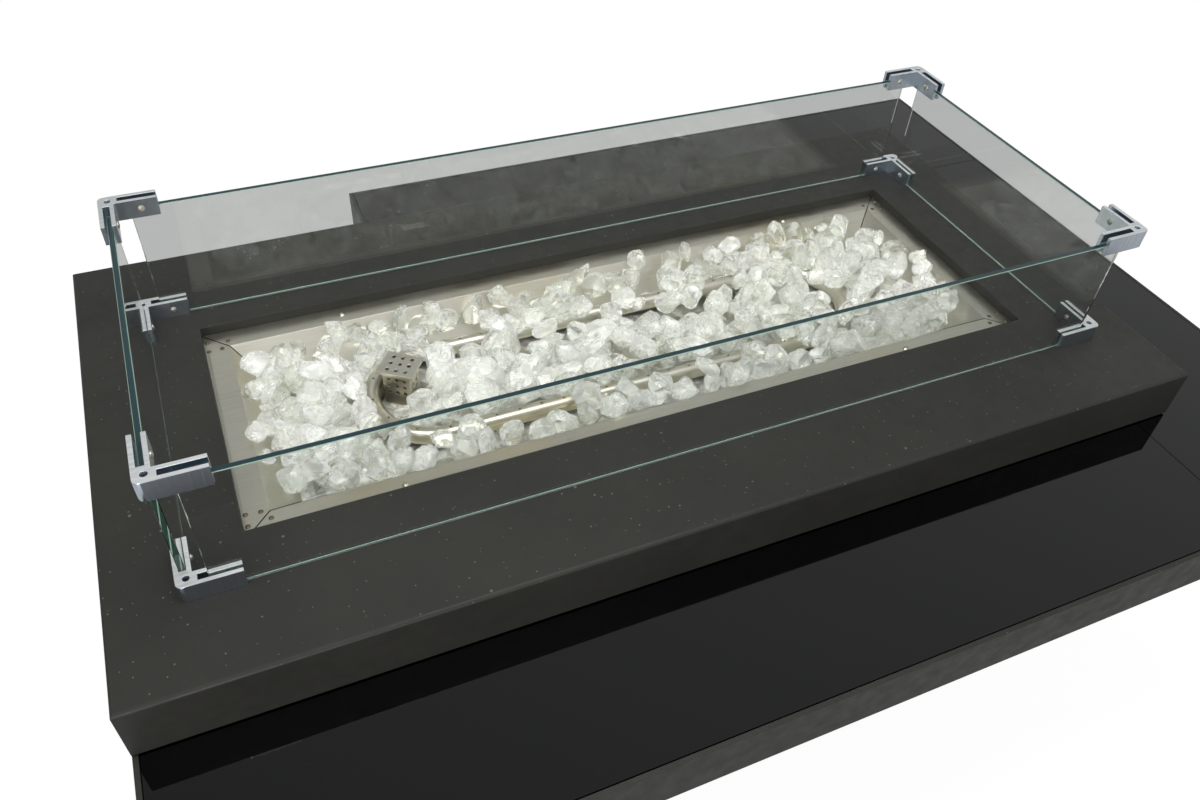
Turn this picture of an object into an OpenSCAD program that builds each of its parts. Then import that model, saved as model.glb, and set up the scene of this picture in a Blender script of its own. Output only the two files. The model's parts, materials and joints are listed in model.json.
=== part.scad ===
// Rectangular gas fire pit table with a raised burner top, a lower glass tier and a glass wind guard.
// Millimetres, +Z up. The origin lies on the floor, under the middle of the whole footprint.
// The left end, where the lower tier stops, carries the controls and the door.

/* [Burner top] */
// Width of the raised burner top
top_w = 1165; // [1120:5:1240]
// Depth of the raised burner top
top_d = 612; // [570:2:680]
// Height of the burner top's skirt
top_h = 64; // [58:1:80]
// Thickness of the burner top's sheet
top_sheet = 2.5; // [1.5:0.5:3.5]
// Outer radius of the burner top's folded edges
top_bend = 4; // [3:0.5:8]
// Width of the flange folded in under the skirt
skirt_flange = 18; // [10:1:30]
// Height of the burner top's upper face above the floor
table_h = 622; // [600:2:720]
// Width of the opening over the burner pan
opening_w = 914; // [880:2:920]
// Depth of the opening over the burner pan
opening_d = 305; // [290:1:320]
// Height of the folded edge round the opening
hem_h = 12; // [8:1:16]

/* [Lower tier] */
// How far the tier reaches past the burner top at the front, right and back
overhang = 176; // [150:2:200]
// Height of the tier's skirt
tier_h = 63; // [50:1:75]
// Width of each glass strip with its rim, from the outer edge inwards
strip_w = 227; // [215:1:240]
// Distance from the left end to the start of the back strip
notch_w = 360; // [200:5:500]
// Thickness of the tier's sheet
tier_sheet = 2.5; // [1.5:0.5:3]
// Width of the metal rim round the glass
rim_w = 5; // [4:0.5:8]
// Width of the flange folded in under the tier's skirt
tier_flange = 20; // [10:1:30]
// Thickness of the glass tiles
tile_t = 6; // [5:1:10]
// Thickness of the foam tape under the tiles
tape_t = 1; // [0.5:0.5:2]
// Width of the foam tape
tape_w = 18; // [10:1:30]
// Gap between a tile and its neighbour or rim
tile_gap = 1; // [0.5:0.25:2]
// Thickness of the pads between the tiles and the burner top
pad_h = 2; // [1.5:0.5:4]

/* [Cabinet] */
// Distance from the burner top's left end to the cabinet
cabinet_inset = 62; // [50:2:66]
// Thickness of the cabinet's panels
panel_t = 2; // [1.5:0.5:3]
// Depth of the front and back panels' folded ends
panel_return = 25; // [20:1:30]
// Thickness of the base plate
base_t = 3; // [2:0.5:5]
// Leg length of the corner posts
post_leg = 36; // [34:1:38]
// Thickness of the corner posts
post_t = 3; // [2:0.5:4]
// Size of the square tube of the top frame
frame_tube = 25; // [20:1:30]
// Height of the floor glides
glide_h = 20; // [15:1:40]
// Radius of the floor glides
glide_r = 25; // [18:1:35]
// Radius of the tank's seat ring in the base plate
tank_ring_r = 102; // [95:1:110]
// Number of louvres in one bank
louvre_count = 6; // [3:1:8]
// Length of one louvre
louvre_l = 110; // [80:5:130]

/* [Door] */
// Distance from the door opening to the corner post beside its hinges
door_side = 12; // [8:1:60]
// Height of the door opening
door_h = 470; // [440:5:480]
// Height of the door opening's lower edge above the floor
door_z = 45; // [40:1:60]
// Gap round the door
door_gap = 1.5; // [1:0.25:3]
// Depth of the door's folded edges
door_fold = 14; // [8:1:20]
// Radius of the hinge pins
hinge_pin_r = 2.5; // [2:0.25:3]
// Outer radius of the hinge knuckles
knuckle_r = 5; // [4.5:0.25:6]
// Length of one hinge
hinge_l = 60; // [50:2:80]
// Radius of the pull handle's rod
handle_r = 5; // [4:0.5:7]
// Length of the pull handle
handle_l = 120; // [90:5:160]
// How far the pull handle stands out
handle_out = 34; // [28:1:40]

/* [Controls and gas train] */
// Radius of the control knob
knob_r = 22; // [18:1:26]
// Length of the control knob
knob_l = 24; // [18:1:28]
// How far the control knob pushes in
knob_travel = 4; // [3:0.5:5]
// Radius of the igniter's button
button_r = 8; // [7:0.5:10]
// How far the igniter's button pushes in
button_travel = 5; // [3:0.5:5]
// Radius of the valve's stem
stem_r = 4; // [3:0.5:4.5]
// Radius of the gas inlet's thread
inlet_r = 7.9; // [6:0.1:9]
// Length of the gas inlet's thread
inlet_l = 16; // [12:1:22]
// Radius of the feed pipe
feed_r = 5; // [4:0.5:6]
// Radius of the pilot's tube
pilot_tube_r = 3; // [2:0.5:3.5]

/* [Burner pan] */
// Depth of the burner pan
pan_depth = 50; // [46:1:55]
// How far each pan wall slopes in
pan_slope = 46; // [38:1:50]
// Thickness of the pan's sheet
pan_t = 1.5; // [1:0.25:2]
// Width of the pan's flange that shows inside the opening
flange_show = 26; // [20:1:30]
// Width of the pan's flange that lies under the burner top
flange_lap = 20; // [14:1:24]
// Number of air slots in the pan's front wall
slot_count = 10; // [4:1:14]

/* [Burner] */
// Outer radius of the burner tube
tube_r = 9.5; // [8:0.5:11]
// Wall of the burner tube
tube_wall = 1.2; // [1:0.1:2]
// Length of the burner's racetrack, centre to centre of its ends
burner_l = 470; // [420:2:500]
// Spacing of the burner's two runs
burner_w = 132; // [128:2:140]
// Depth of the burner tube's centre under the burner top's upper face
burner_drop = 34; // [30:0.5:35]
// Spacing of the gas ports
port_pitch = 26; // [18:1:50]
// Radius of a gas port
port_r = 1.2; // [0.8:0.1:2]

/* [Pilot] */
// Length of the pilot's cover
cover_l = 41; // [38:1:48]
// Width of the pilot's cover
cover_w = 36; // [34:1:42]
// Thickness of the pilot cover's sheet
cover_t = 1; // [0.8:0.1:1.5]
// How far the cover's lid stands out past its box
cover_lip = 4.5; // [4:0.5:6]
// Turn of the pilot's cover, in degrees
cover_turn = -36; // [-45:1:-30]
// Room between the middle of the burner tube at its left end and the pilot
pilot_room = 38; // [38:1:60]
// Place of the pilot across the pan, from the pan's middle
pilot_y = 24; // [10:1:25]

/* [Fire glass] */
// Height of the buried fire glass above the pan's floor
bed_h = 16; // [10:1:16]
// Spacing of the large chunks
chunk_pitch = 37; // [34:1:46]
// Spacing of the small chunks at the pan's long walls
chip_pitch = 23; // [20:1:26]
// Greatest height of a chunk above the buried glass
chunk_h = 35; // [20:1:36]

/* [Wind guard] */
// How far the loose guard stands in front of the opening's middle
guard_forward = 10; // [0:1:15]
// Spacing of the clips' centre holes, left to right
guard_w = 1018; // [1000:2:1060]
// Spacing of the clips' centre holes, front to back
guard_d = 397; // [385:1:420]
// Height of the guard over its clips
guard_h = 155; // [140:1:180]
// Height of the guard's glass
pane_h = 143; // [125:1:150]
// Thickness of the guard's glass
pane_t = 6; // [5:0.5:8]
// Height of a clip
clip_h = 21; // [16:1:26]
// Length of a clip's arm, from the centre hole
clip_arm = 47; // [40:1:55]
// Thickness of a clip's walls
clip_wall = 4.3; // [3.5:0.1:5]
// Distance from a clip's centre hole to its outer faces
clip_edge = 9.3; // [8.5:0.1:10]
// Radius of a clip's outer corner
clip_corner = 6; // [3:0.5:8]
// Radius of a clip's centre hole
clip_hole_r = 3; // [2:0.25:3.5]

/* [Hidden] */
$fn = 48;

// Colours
dark_metal = [0.17, 0.165, 0.15];
black_glass = [0.06, 0.07, 0.07];
steel = [0.74, 0.72, 0.67];
aluminium = [0.78, 0.79, 0.82];
clear_glass = [0.72, 0.84, 0.8, 0.45];
chunk_glass = [0.82, 0.88, 0.83, 0.8];
black = [0.08, 0.08, 0.08];
brass = [0.75, 0.6, 0.3];
zinc = [0.7, 0.7, 0.72];
ceramic = [0.93, 0.92, 0.88];

// Clearances
running = 0.05;
clear = 0.3;
loose = 0.6;
eps = 1;

// Overall outline
total_w = top_w + overhang;
total_d = top_d + 2 * overhang;
left = -total_w / 2;
right = total_w / 2;
half_d = total_d / 2;
box_x = left + top_w / 2;

// Levels, from the top down
under_top = table_h - top_sheet;
skirt_z = table_h - top_h;
tile_z = skirt_z - pad_h;
shelf_z = tile_z - tile_t - tape_t;
tier_z = tile_z - tier_h;
flange_z = table_h - hem_h;
pan_floor_z = flange_z - pan_depth;
burner_z = table_h - burner_drop;
feed_z = pan_floor_z - pan_t - 28;

// Lower tier: a C round the front, right and back, with its inner edge against the cabinet
in_x = right - strip_w;
in_y = half_d - strip_w;
notch_x = left + notch_w;

// Cabinet
cab_l = left + cabinet_inset;
cab_r = in_x;
cab_y = in_y;
panel_top = under_top - 5;
base_z = glide_h;
post_z = base_z + base_t;
frame_z = under_top - frame_tube;
end_panel_y = cab_y - panel_return - clear;
screw_y = cab_y - (panel_return + panel_t + post_leg) / 2;
screw_ys = [screw_y, cab_y - panel_return / 2];
screw_zs = [base_z + 40, (base_z + tier_z) / 2, tier_z - 20];
screw_r = 2.4;
screw_head_r = 4.5;
screw_head_h = 2.6;
screw_l = 9;
glide_in = 48;
stud_r = 4;

// Burner pan, measured from its middle
pan_x = box_x;
flange_xo = opening_w / 2 + flange_lap;
flange_yo = opening_d / 2 + flange_lap;
pan_xi = opening_w / 2 - flange_show;
pan_yi = opening_d / 2 - flange_show;
pan_rake = pan_slope / pan_depth;
pan_skin = pan_t * sqrt(1 + pan_rake * pan_rake);
floor_x = pan_xi - pan_slope;
floor_y = pan_yi - pan_slope;
pan_screw_at = [302, opening_d / 2 - 13];
pan_screw_r = 2;
rivet_r = 1.6;
rivet_ats = [[4, 14], [4, 29], [18, 28], [26, 17]];
seam_w = 0.7;

// Door opening, beside the controls on the left panel
plate_w = 84;
plate_h = 150;
plate_t = 3;
plate_rim = 12;
plate_y = -(cab_y - panel_t - post_leg) + plate_w / 2 + 10;
plate_drop = 100.5;
plate_z = feed_z - plate_drop;
door_y0 = plate_y + plate_w / 2 + 8;
door_y1 = cab_y - panel_t - post_leg - door_side;
door_z1 = door_z + door_h;
hinge_x = cab_l - knuckle_r;
hinge_y = door_y1 + door_gap / 2;
hinge_zs = [(screw_zs[0] + screw_zs[1]) / 2, (screw_zs[1] + screw_zs[2]) / 2];
leaf_t = 2;
leaf_w = 22;
handle_y = door_y0 + 34;
handle_z = (door_z + door_z1) / 2 + 60;

// Controls
knob_y = plate_y;
knob_z = plate_z + 38;
igniter_z = plate_z - 36;
plate_x = cab_l - plate_t;
nut_t = 4;
nut_r = 14;
nose_r = 9;
nose_end = plate_x - nut_t - 3;
knob_x = nose_end - knob_travel - 2;
valve_x = cab_l + 12;
valve_l = 48;
valve_w = 44;
valve_h = 38;
collar_r = 6.6;
collar_t = 2;
pocket_r = 7;
shoulder_t = 1.5;
pocket_x = nose_end + 1.5;
collar_x = pocket_x + clear + shoulder_t;
pocket_l = clear + shoulder_t + collar_t + knob_travel + 1;
ring_r = 13;
pipe_bend = 25;
pilot_bend = 14;
feed_x = valve_x + valve_l / 2;
feed_y = knob_y + 10;
pilot_out_y = knob_y - 12;
pilot_run_z = feed_z - 20;
mixer_r = 14;
stub_z = pan_floor_z - 14;

// Burner
burner_y = burner_w / 2;
bracket_x = burner_l / 2 - 60;
bracket_w = 24;
bracket_t = 1.5;
bracket_foot = 20;

// Pilot, standing on a small plate on the pan's floor
pilot_x = pilot_room - burner_l / 2 - burner_y;
pilot_place = [pan_x + pilot_x, pilot_y];
pilot_plate_t = 1.5;
pilot_plate_z = pan_floor_z + pilot_plate_t;
cover_h = table_h - 5 - pilot_plate_z;

// Fire glass
bed_z = pan_floor_z + bed_h;
chunk_r = chunk_pitch / 2 - 0.6;
chip_r = chip_pitch / 2 - 0.6;
end_r = 13;

// Wind guard
pane_slot = pane_t + 0.4;
arm_w = 2 * clip_wall + pane_slot;
slot_start = clip_edge;
pane_y = guard_d / 2 + clip_edge - arm_w / 2;
pane_x = guard_w / 2 + clip_edge - arm_w / 2;
long_pane = guard_w - 2 * (slot_start + 9);
short_pane = guard_d - 2 * (slot_start + clear);
set_screw_r = 1.9;
set_screw_at = 30;

// Box between two corners
module slab(x0, x1, y0, y1, z0, z1) {
    translate([x0, y0, z0]) cube([x1 - x0, y1 - y0, z1 - z0]);
}

// Rectangular ring of wall t inside the outline x0 to x1, y0 to y1
module ring(x0, x1, y0, y1, z0, z1, t) {
    difference() {
        slab(x0, x1, y0, y1, z0, z1);
        slab(x0 + t, x1 - t, y0 + t, y1 - t, z0 - eps, z1 + eps);
    }
}

// Outline of a sheet of thickness t that follows an open path, on its left side
function run_normal(a, b) = let (u = (b - a) / norm(b - a)) [-u[1], u[0]];
function offset_point(path, i, t) =
    let (last = len(path) - 1,
         before = i > 0 ? run_normal(path[i - 1], path[i]) : run_normal(path[0], path[1]),
         after = i < last ? run_normal(path[i], path[i + 1]) : before,
         both = before + after)
    path[i] + 2 * t * both / (both * both);
function folded(path, t) =
    concat(path, [for (i = [len(path) - 1 : -1 : 0]) offset_point(path, i, t)]);

// Block with rounded upper edges, as a folded sheet has
module round_top_profile(w, h, r) {
    translate([-w / 2, 0]) square([w, h - r]);
    translate([-w / 2 + r, 0]) square([w - 2 * r, h]);
    for (side = [-1, 1]) translate([side * (w / 2 - r), h - r]) circle(r);
}
module folded_block(x0, x1, y0, y1, z0, z1, r) {
    intersection() {
        translate([x1, (y0 + y1) / 2, z0]) rotate([90, 0, -90])
            linear_extrude(x1 - x0) round_top_profile(y1 - y0, z1 - z0, r);
        translate([(x0 + x1) / 2, y1, z0]) rotate([90, 0, 0])
            linear_extrude(y1 - y0) round_top_profile(x1 - x0, z1 - z0, r);
    }
}

// Hopper with four walls of the same rake, round the middle of the pan
module hopper(hx, hy, z_top, z_low, rake) {
    run = (z_top - z_low) * rake;
    intersection() {
        translate([pan_x + hx, 0, 0]) rotate([90, 0, -90]) linear_extrude(2 * hx)
            polygon([[-hy, z_top], [hy, z_top], [hy - run, z_low], [run - hy, z_low]]);
        translate([pan_x, hy, 0]) rotate([90, 0, 0]) linear_extrude(2 * hy)
            polygon([[-hx, z_top], [hx, z_top], [hx - run, z_low], [run - hx, z_low]]);
    }
}

// Plan outline of the lower tier, drawn in by i at its outer edges and by j at its inner edges
function tier_outline(i, j) = [
    [left + i, i - half_d], [right - i, i - half_d], [right - i, half_d - i], [notch_x + i, half_d - i],
    [notch_x + i, in_y + j], [in_x + j, in_y + j], [in_x + j, -in_y - j], [left + i, -in_y - j]
];
module tier_layer(z0, z1, i, j) {
    translate([0, 0, z0]) linear_extrude(z1 - z0) polygon(tier_outline(i, j));
}

// Screw with a domed head that stands on z = 0 and points down
module dome_screw(head_r, head_h, shank_r, shank_l) {
    rotate_extrude() intersection() {
        translate([0, head_h - head_r * 1.4]) circle(head_r * 1.4);
        square([head_r, head_h]);
    }
    translate([0, 0, -shank_l]) cylinder(r = shank_r, h = shank_l + 0.1);
}

// Raised burner top
module burner_top() {
    hem_x = opening_w / 2;
    hem_y = opening_d / 2;
    color(dark_metal) difference() {
        union() {
            difference() {
                folded_block(left, left + top_w, -top_d / 2, top_d / 2, skirt_z, table_h, top_bend);
                translate([0, 0, -top_sheet]) folded_block(left + top_sheet, left + top_w - top_sheet,
                    top_sheet - top_d / 2, top_d / 2 - top_sheet, skirt_z - eps, table_h,
                    top_bend - top_sheet / 2);
            }
            ring(left + top_sheet / 2, left + top_w - top_sheet / 2, (top_sheet - top_d) / 2,
                (top_d - top_sheet) / 2, skirt_z, skirt_z + top_sheet, skirt_flange);
            slab(pan_x - hem_x - top_sheet, pan_x + hem_x + top_sheet, -hem_y - top_sheet, hem_y + top_sheet,
                flange_z, table_h - top_sheet / 2);
        }
        slab(pan_x - hem_x, pan_x + hem_x, -hem_y, hem_y, skirt_z - eps, table_h + eps);
    }
}

// Welded square tube frame that carries the burner top on the posts
module frame_ring(inset, z0, z1, w) {
    x0 = cab_l + panel_t + inset;
    x1 = cab_r - panel_t - inset;
    y1 = cab_y - panel_t - inset;
    ring(x0, x1, -y1, y1, z0, z1, w);
}
module top_frame() {
    wall = 2;
    mid = panel_t + frame_tube / 2;
    color(dark_metal) difference() {
        frame_ring(0, frame_z, under_top, frame_tube);
        frame_ring(wall, frame_z + wall, under_top - wall, frame_tube - 2 * wall);
        for (x = [cab_l + mid + 60, cab_r - mid - 60]) for (y = [mid - cab_y, cab_y - mid])
            translate([x, y, frame_z - eps]) cylinder(r = 4, h = wall + 2 * eps);
    }
}

// Angles under the burner top that the pan's flange lies on
module pan_rails() {
    rail_t = 2.5;
    lip = 38;
    seat_z = flange_z - pan_t;
    x0 = cab_l + panel_t + frame_tube;
    x1 = cab_r - panel_t - frame_tube;
    color(zinc) difference() {
        for (flip = [0, 1]) mirror([0, flip, 0]) translate([x1, flange_yo + clear, 0]) rotate([90, 0, -90])
            linear_extrude(x1 - x0) polygon(folded([[0, under_top], [0, seat_z], [lip, seat_z]], -rail_t));
        at_pan_screws() cylinder(r = pan_screw_r + clear, h = 4 * rail_t, center = true);
    }
}

// Pads between the glass tiles and the burner top's skirt
module rest_pads() {
    pad_l = 36;
    pad_w = skirt_flange - 4;
    front_y = top_d / 2 - skirt_flange + 2;
    color(black) {
        for (x = [left + 90, box_x, left + top_w - 90])
            slab(x - pad_l / 2, x + pad_l / 2, -front_y - pad_w, -front_y, tile_z, skirt_z);
        for (x = [notch_x + 90, left + top_w - 90])
            slab(x - pad_l / 2, x + pad_l / 2, front_y, front_y + pad_w, tile_z, skirt_z);
        for (side = [-1, 1]) translate([left + top_w - skirt_flange + 2, side * top_d / 4, tile_z])
            translate([0, -pad_l / 2, 0]) cube([pad_w, pad_l, pad_h]);
    }
}

// Sheet tray of the lower tier
module tier_frame() {
    color(dark_metal) difference() {
        union() {
            difference() {
                tier_layer(tier_z, tile_z, 0, 0);
                tier_layer(tier_z - eps, tile_z + eps, tier_sheet, tier_sheet);
            }
            tier_layer(shelf_z - tier_sheet, tile_z, tier_sheet / 2, tier_sheet / 2);
            difference() {
                tier_layer(tier_z, tier_z + tier_sheet, tier_sheet / 2, tier_sheet / 2);
                tier_layer(tier_z - eps, tier_z + tier_sheet + eps, tier_flange, tier_flange);
            }
        }
        tier_layer(shelf_z, tile_z + eps, rim_w, -eps);
        gusset_holes();
    }
}

// Glass tiles, laid head to tail round the tier
module tile(x0, x1, y0, y1) {
    color(black_glass) slab(x0, x1, y0, y1, shelf_z + tape_t, tile_z);
}
tile_edge = rim_w + tile_gap;
joint = tile_gap / 2;
module tile_front() {
    tile(left + tile_edge, in_x + rim_w - joint, tile_edge - half_d, -in_y - rim_w);
}
module tile_right() {
    tile(in_x + rim_w + joint, right - tile_edge, tile_edge - half_d, in_y + rim_w - joint);
}
module tile_back() {
    tile(notch_x + tile_edge, right - tile_edge, in_y + rim_w + joint, half_d - tile_edge);
}

// Foam tapes between the shelf and the tiles
module tape(x0, x1, y0, y1) {
    slab(x0, x1, y0, y1, shelf_z, shelf_z + tape_t);
}
module tile_tapes() {
    inset = tile_edge + 6;
    end = tape_w + 10;
    color(black) {
        for (y = [inset - half_d, -in_y - end]) tape(left + inset, in_x - end, y, y + tape_w);
        for (x = [in_x + end - tape_w, right - inset - tape_w])
            tape(x, x + tape_w, inset - half_d, in_y - end);
        for (y = [in_y + end - tape_w, half_d - inset - tape_w])
            tape(notch_x + inset, right - inset, y, y + tape_w);
    }
}

// Gussets inside the tray, bolted through the tray's inner wall to the cabinet
gusset_l = 150;
gusset_t = 3;
gusset_foot = 30;
gusset_bolt_y = 18;
gusset_low = tier_z + tier_sheet + 1;
gusset_top = shelf_z - tier_sheet;
gusset_bolt_zs = [gusset_low + 14, gusset_top - 12];
gusset_bolt_r = 3;
gusset_places = concat(
    [for (k = [0.12, 0.5, 0.86]) [cab_l + k * (cab_r - cab_l), -in_y, -90]],
    [for (y = [-in_y / 2, in_y / 2]) [in_x, y, 0]],
    [for (k = [0.15, 0.8]) [notch_x + k * (in_x - notch_x), in_y, 90]]);
module at_gussets() {
    for (p = gusset_places) translate([p[0], p[1], 0]) rotate([0, 0, p[2]]) children();
}
module gusset_holes() {
    at_gussets() for (z = gusset_bolt_zs) translate([-panel_t - eps, gusset_bolt_y, z]) rotate([0, 90, 0])
        cylinder(r = gusset_bolt_r + clear, h = panel_t + tier_sheet + gusset_t + 2 * eps);
}
module tier_gussets() {
    color(zinc) difference() {
        at_gussets() translate([tier_sheet, 0, 0]) {
            translate([0, gusset_t, 0]) rotate([90, 0, 0]) linear_extrude(gusset_t)
                polygon([[0, gusset_low], [gusset_l, gusset_top - 12], [gusset_l, gusset_top],
                    [0, gusset_top]]);
            slab(0, gusset_t, 0, gusset_foot, gusset_low, gusset_top);
            slab(0, gusset_l, 0, gusset_foot / 2, gusset_top - gusset_t, gusset_top);
        }
        gusset_holes();
    }
}
module tier_bolts() {
    head_h = 4;
    color(zinc) at_gussets() for (z = gusset_bolt_zs)
        translate([tier_sheet + gusset_t, gusset_bolt_y, z]) rotate([0, 90, 0]) {
            cylinder(r = gusset_bolt_r * 1.9, h = head_h, $fn = 6);
            translate([0, 0, -tier_sheet - gusset_t - panel_t - 6])
                cylinder(r = gusset_bolt_r, h = tier_sheet + gusset_t + panel_t + 6.1);
        }
}

// Louvres in a panel that lies in the XY plane with its outer face at z = 0 and +Y up
louvre_r = 8;
louvre_pitch = 26;
module at_louvres() {
    for (i = [0 : louvre_count - 1])
        translate([0, (i - (louvre_count - 1) / 2) * louvre_pitch, 0]) children();
}
module louvre_slot() {
    slot_l = louvre_l - 2 * panel_t;
    translate([-slot_l / 2, clear, -2 * panel_t]) cube([slot_l, louvre_r - panel_t - 1.5, 4 * panel_t]);
}
module louvre_hood() {
    translate([-louvre_l / 2, 0, 0]) rotate([90, 0, 90]) difference() {
        intersection() {
            cylinder(r = louvre_r, h = louvre_l);
            translate([0, -panel_t / 2, 0]) cube([louvre_r, louvre_r + panel_t, louvre_l]);
        }
        translate([-1, 0, panel_t]) cylinder(r = louvre_r - panel_t, h = louvre_l - 2 * panel_t);
    }
}
louvre_z = (base_z + tier_z) / 2 + 40;
back_louvre_xs = [for (k = [0.22, 0.5, 0.78]) cab_l + k * (cab_r - cab_l)];

// Places of the screws that hold the panels to the posts
module at_post_screws() {
    for (y = screw_ys) for (side = [-1, 1]) for (z = screw_zs) {
        translate([cab_l, side * y, z]) rotate([0, -90, 0]) children();
        translate([cab_r, side * y, z]) rotate([0, 90, 0]) children();
    }
}
module at_plate_screws() {
    for (y = [-1, 1]) for (z = [-1, 1])
        translate([plate_x, plate_y + y * (plate_w - plate_rim) / 2, plate_z + z * (plate_h - plate_rim) / 2])
            rotate([0, -90, 0]) children();
}
module screw_hole() {
    cylinder(r = screw_r + clear, h = 4 * screw_l, center = true);
}

// Long panels, folded round the cabinet's corners
module long_sheet() {
    translate([0, 0, base_z]) linear_extrude(panel_top - base_z) polygon(folded([
        [cab_l, panel_return - cab_y], [cab_l, -cab_y], [cab_r, -cab_y], [cab_r, panel_return - cab_y]],
        panel_t));
}
module front_panel() {
    color(dark_metal) difference() {
        long_sheet();
        gusset_holes();
        at_post_screws() screw_hole();
    }
}
module back_panel() {
    color(dark_metal) {
        difference() {
            mirror([0, 1, 0]) long_sheet();
            gusset_holes();
            at_post_screws() screw_hole();
            for (x = back_louvre_xs) translate([x, cab_y, louvre_z]) rotate([90, 0, 180]) at_louvres()
                louvre_slot();
        }
        for (x = back_louvre_xs) translate([x, cab_y, louvre_z]) rotate([90, 0, 180]) at_louvres()
            louvre_hood();
    }
}

// End panels, between the folds of the long panels
module right_panel() {
    color(dark_metal) {
        difference() {
            slab(cab_r - panel_t, cab_r, -end_panel_y, end_panel_y, base_z, panel_top);
            gusset_holes();
            at_post_screws() screw_hole();
            translate([cab_r, 0, louvre_z]) rotate([90, 0, 90]) at_louvres() louvre_slot();
        }
        translate([cab_r, 0, louvre_z]) rotate([90, 0, 90]) at_louvres() louvre_hood();
    }
}
module left_panel() {
    stop_fold = 12;
    window_w = plate_w - 2 * plate_rim;
    window_h = plate_h - 2 * plate_rim;
    color(dark_metal) difference() {
        union() {
            slab(cab_l, cab_l + panel_t, -end_panel_y, end_panel_y, base_z, panel_top);
            slab(cab_l, cab_l + stop_fold, door_y0 - panel_t, door_y1 + panel_t, door_z - panel_t,
                door_z1 + panel_t);
        }
        slab(cab_l - eps, cab_l + stop_fold + eps, door_y0, door_y1, door_z, door_z1);
        translate([cab_l - eps, plate_y - window_w / 2, plate_z - window_h / 2])
            cube([panel_t + 2 * eps, window_w, window_h]);
        at_post_screws() screw_hole();
        at_plate_screws() screw_hole();
    }
}
module panel_screws() {
    color(black) {
        at_post_screws() dome_screw(screw_head_r, screw_head_h, screw_r, screw_l);
        at_plate_screws() dome_screw(screw_head_r, screw_head_h, screw_r, screw_l);
    }
}

// Base plate with a ring that seats the gas tank's foot
tank_room = 83;
tank_x = cab_l + tank_room + tank_ring_r;
tank_y = (door_y0 + door_y1) / 2;
module at_glides() {
    for (x = [cab_l + glide_in, (cab_l + cab_r) / 2, cab_r - glide_in]) for (side = [-1, 1])
        translate([x, side * (cab_y - glide_in), 0]) children();
}
module base_plate() {
    ring_t = 3;
    ring_h = 14;
    vent_r = 9;
    vent_pitch = 44;
    color(dark_metal) difference() {
        union() {
            slab(cab_l + panel_t, cab_r - panel_t, panel_t - cab_y, cab_y - panel_t, base_z, post_z);
            translate([tank_x, tank_y, base_z])
                cylinder(r = tank_ring_r + clear + ring_t, h = base_t + ring_h);
        }
        translate([tank_x, tank_y, post_z]) cylinder(r = tank_ring_r + clear, h = ring_h + eps);
        translate([tank_x, tank_y, base_z - eps]) cylinder(r = tank_ring_r - 20, h = base_t + 2 * eps);
        for (i = [0 : 4]) for (j = [-2 : 2])
            translate([cab_r - 130 - i * vent_pitch, j * vent_pitch, base_z - eps])
                cylinder(r = vent_r, h = base_t + 2 * eps);
        at_glides() translate([0, 0, base_z - eps]) cylinder(r = stud_r + clear, h = base_t + 2 * eps);
    }
}
module corner_posts() {
    color(dark_metal) difference() {
        for (i = [0, 1]) for (j = [0, 1])
            translate([i == 0 ? cab_l + panel_t : cab_r - panel_t, (2 * j - 1) * (cab_y - panel_t), post_z])
                mirror([i, 0, 0]) mirror([0, j, 0]) linear_extrude(frame_z - post_z)
                    polygon([[0, 0], [post_leg, 0], [post_leg, post_t], [post_t, post_t], [post_t, post_leg],
                        [0, post_leg]]);
        at_post_screws() screw_hole();
    }
}
module floor_glides() {
    foot_h = 7;
    color(black) at_glides() rotate_extrude() polygon([
        [0, 0], [glide_r - 1.5, 0], [glide_r, 1.5], [glide_r, foot_h - 2], [glide_r - 2, foot_h],
        [12, foot_h],
        [10, foot_h + 2], [10, glide_h], [stud_r, glide_h], [stud_r, post_z + 9], [0, post_z + 9]]);
}

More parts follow.
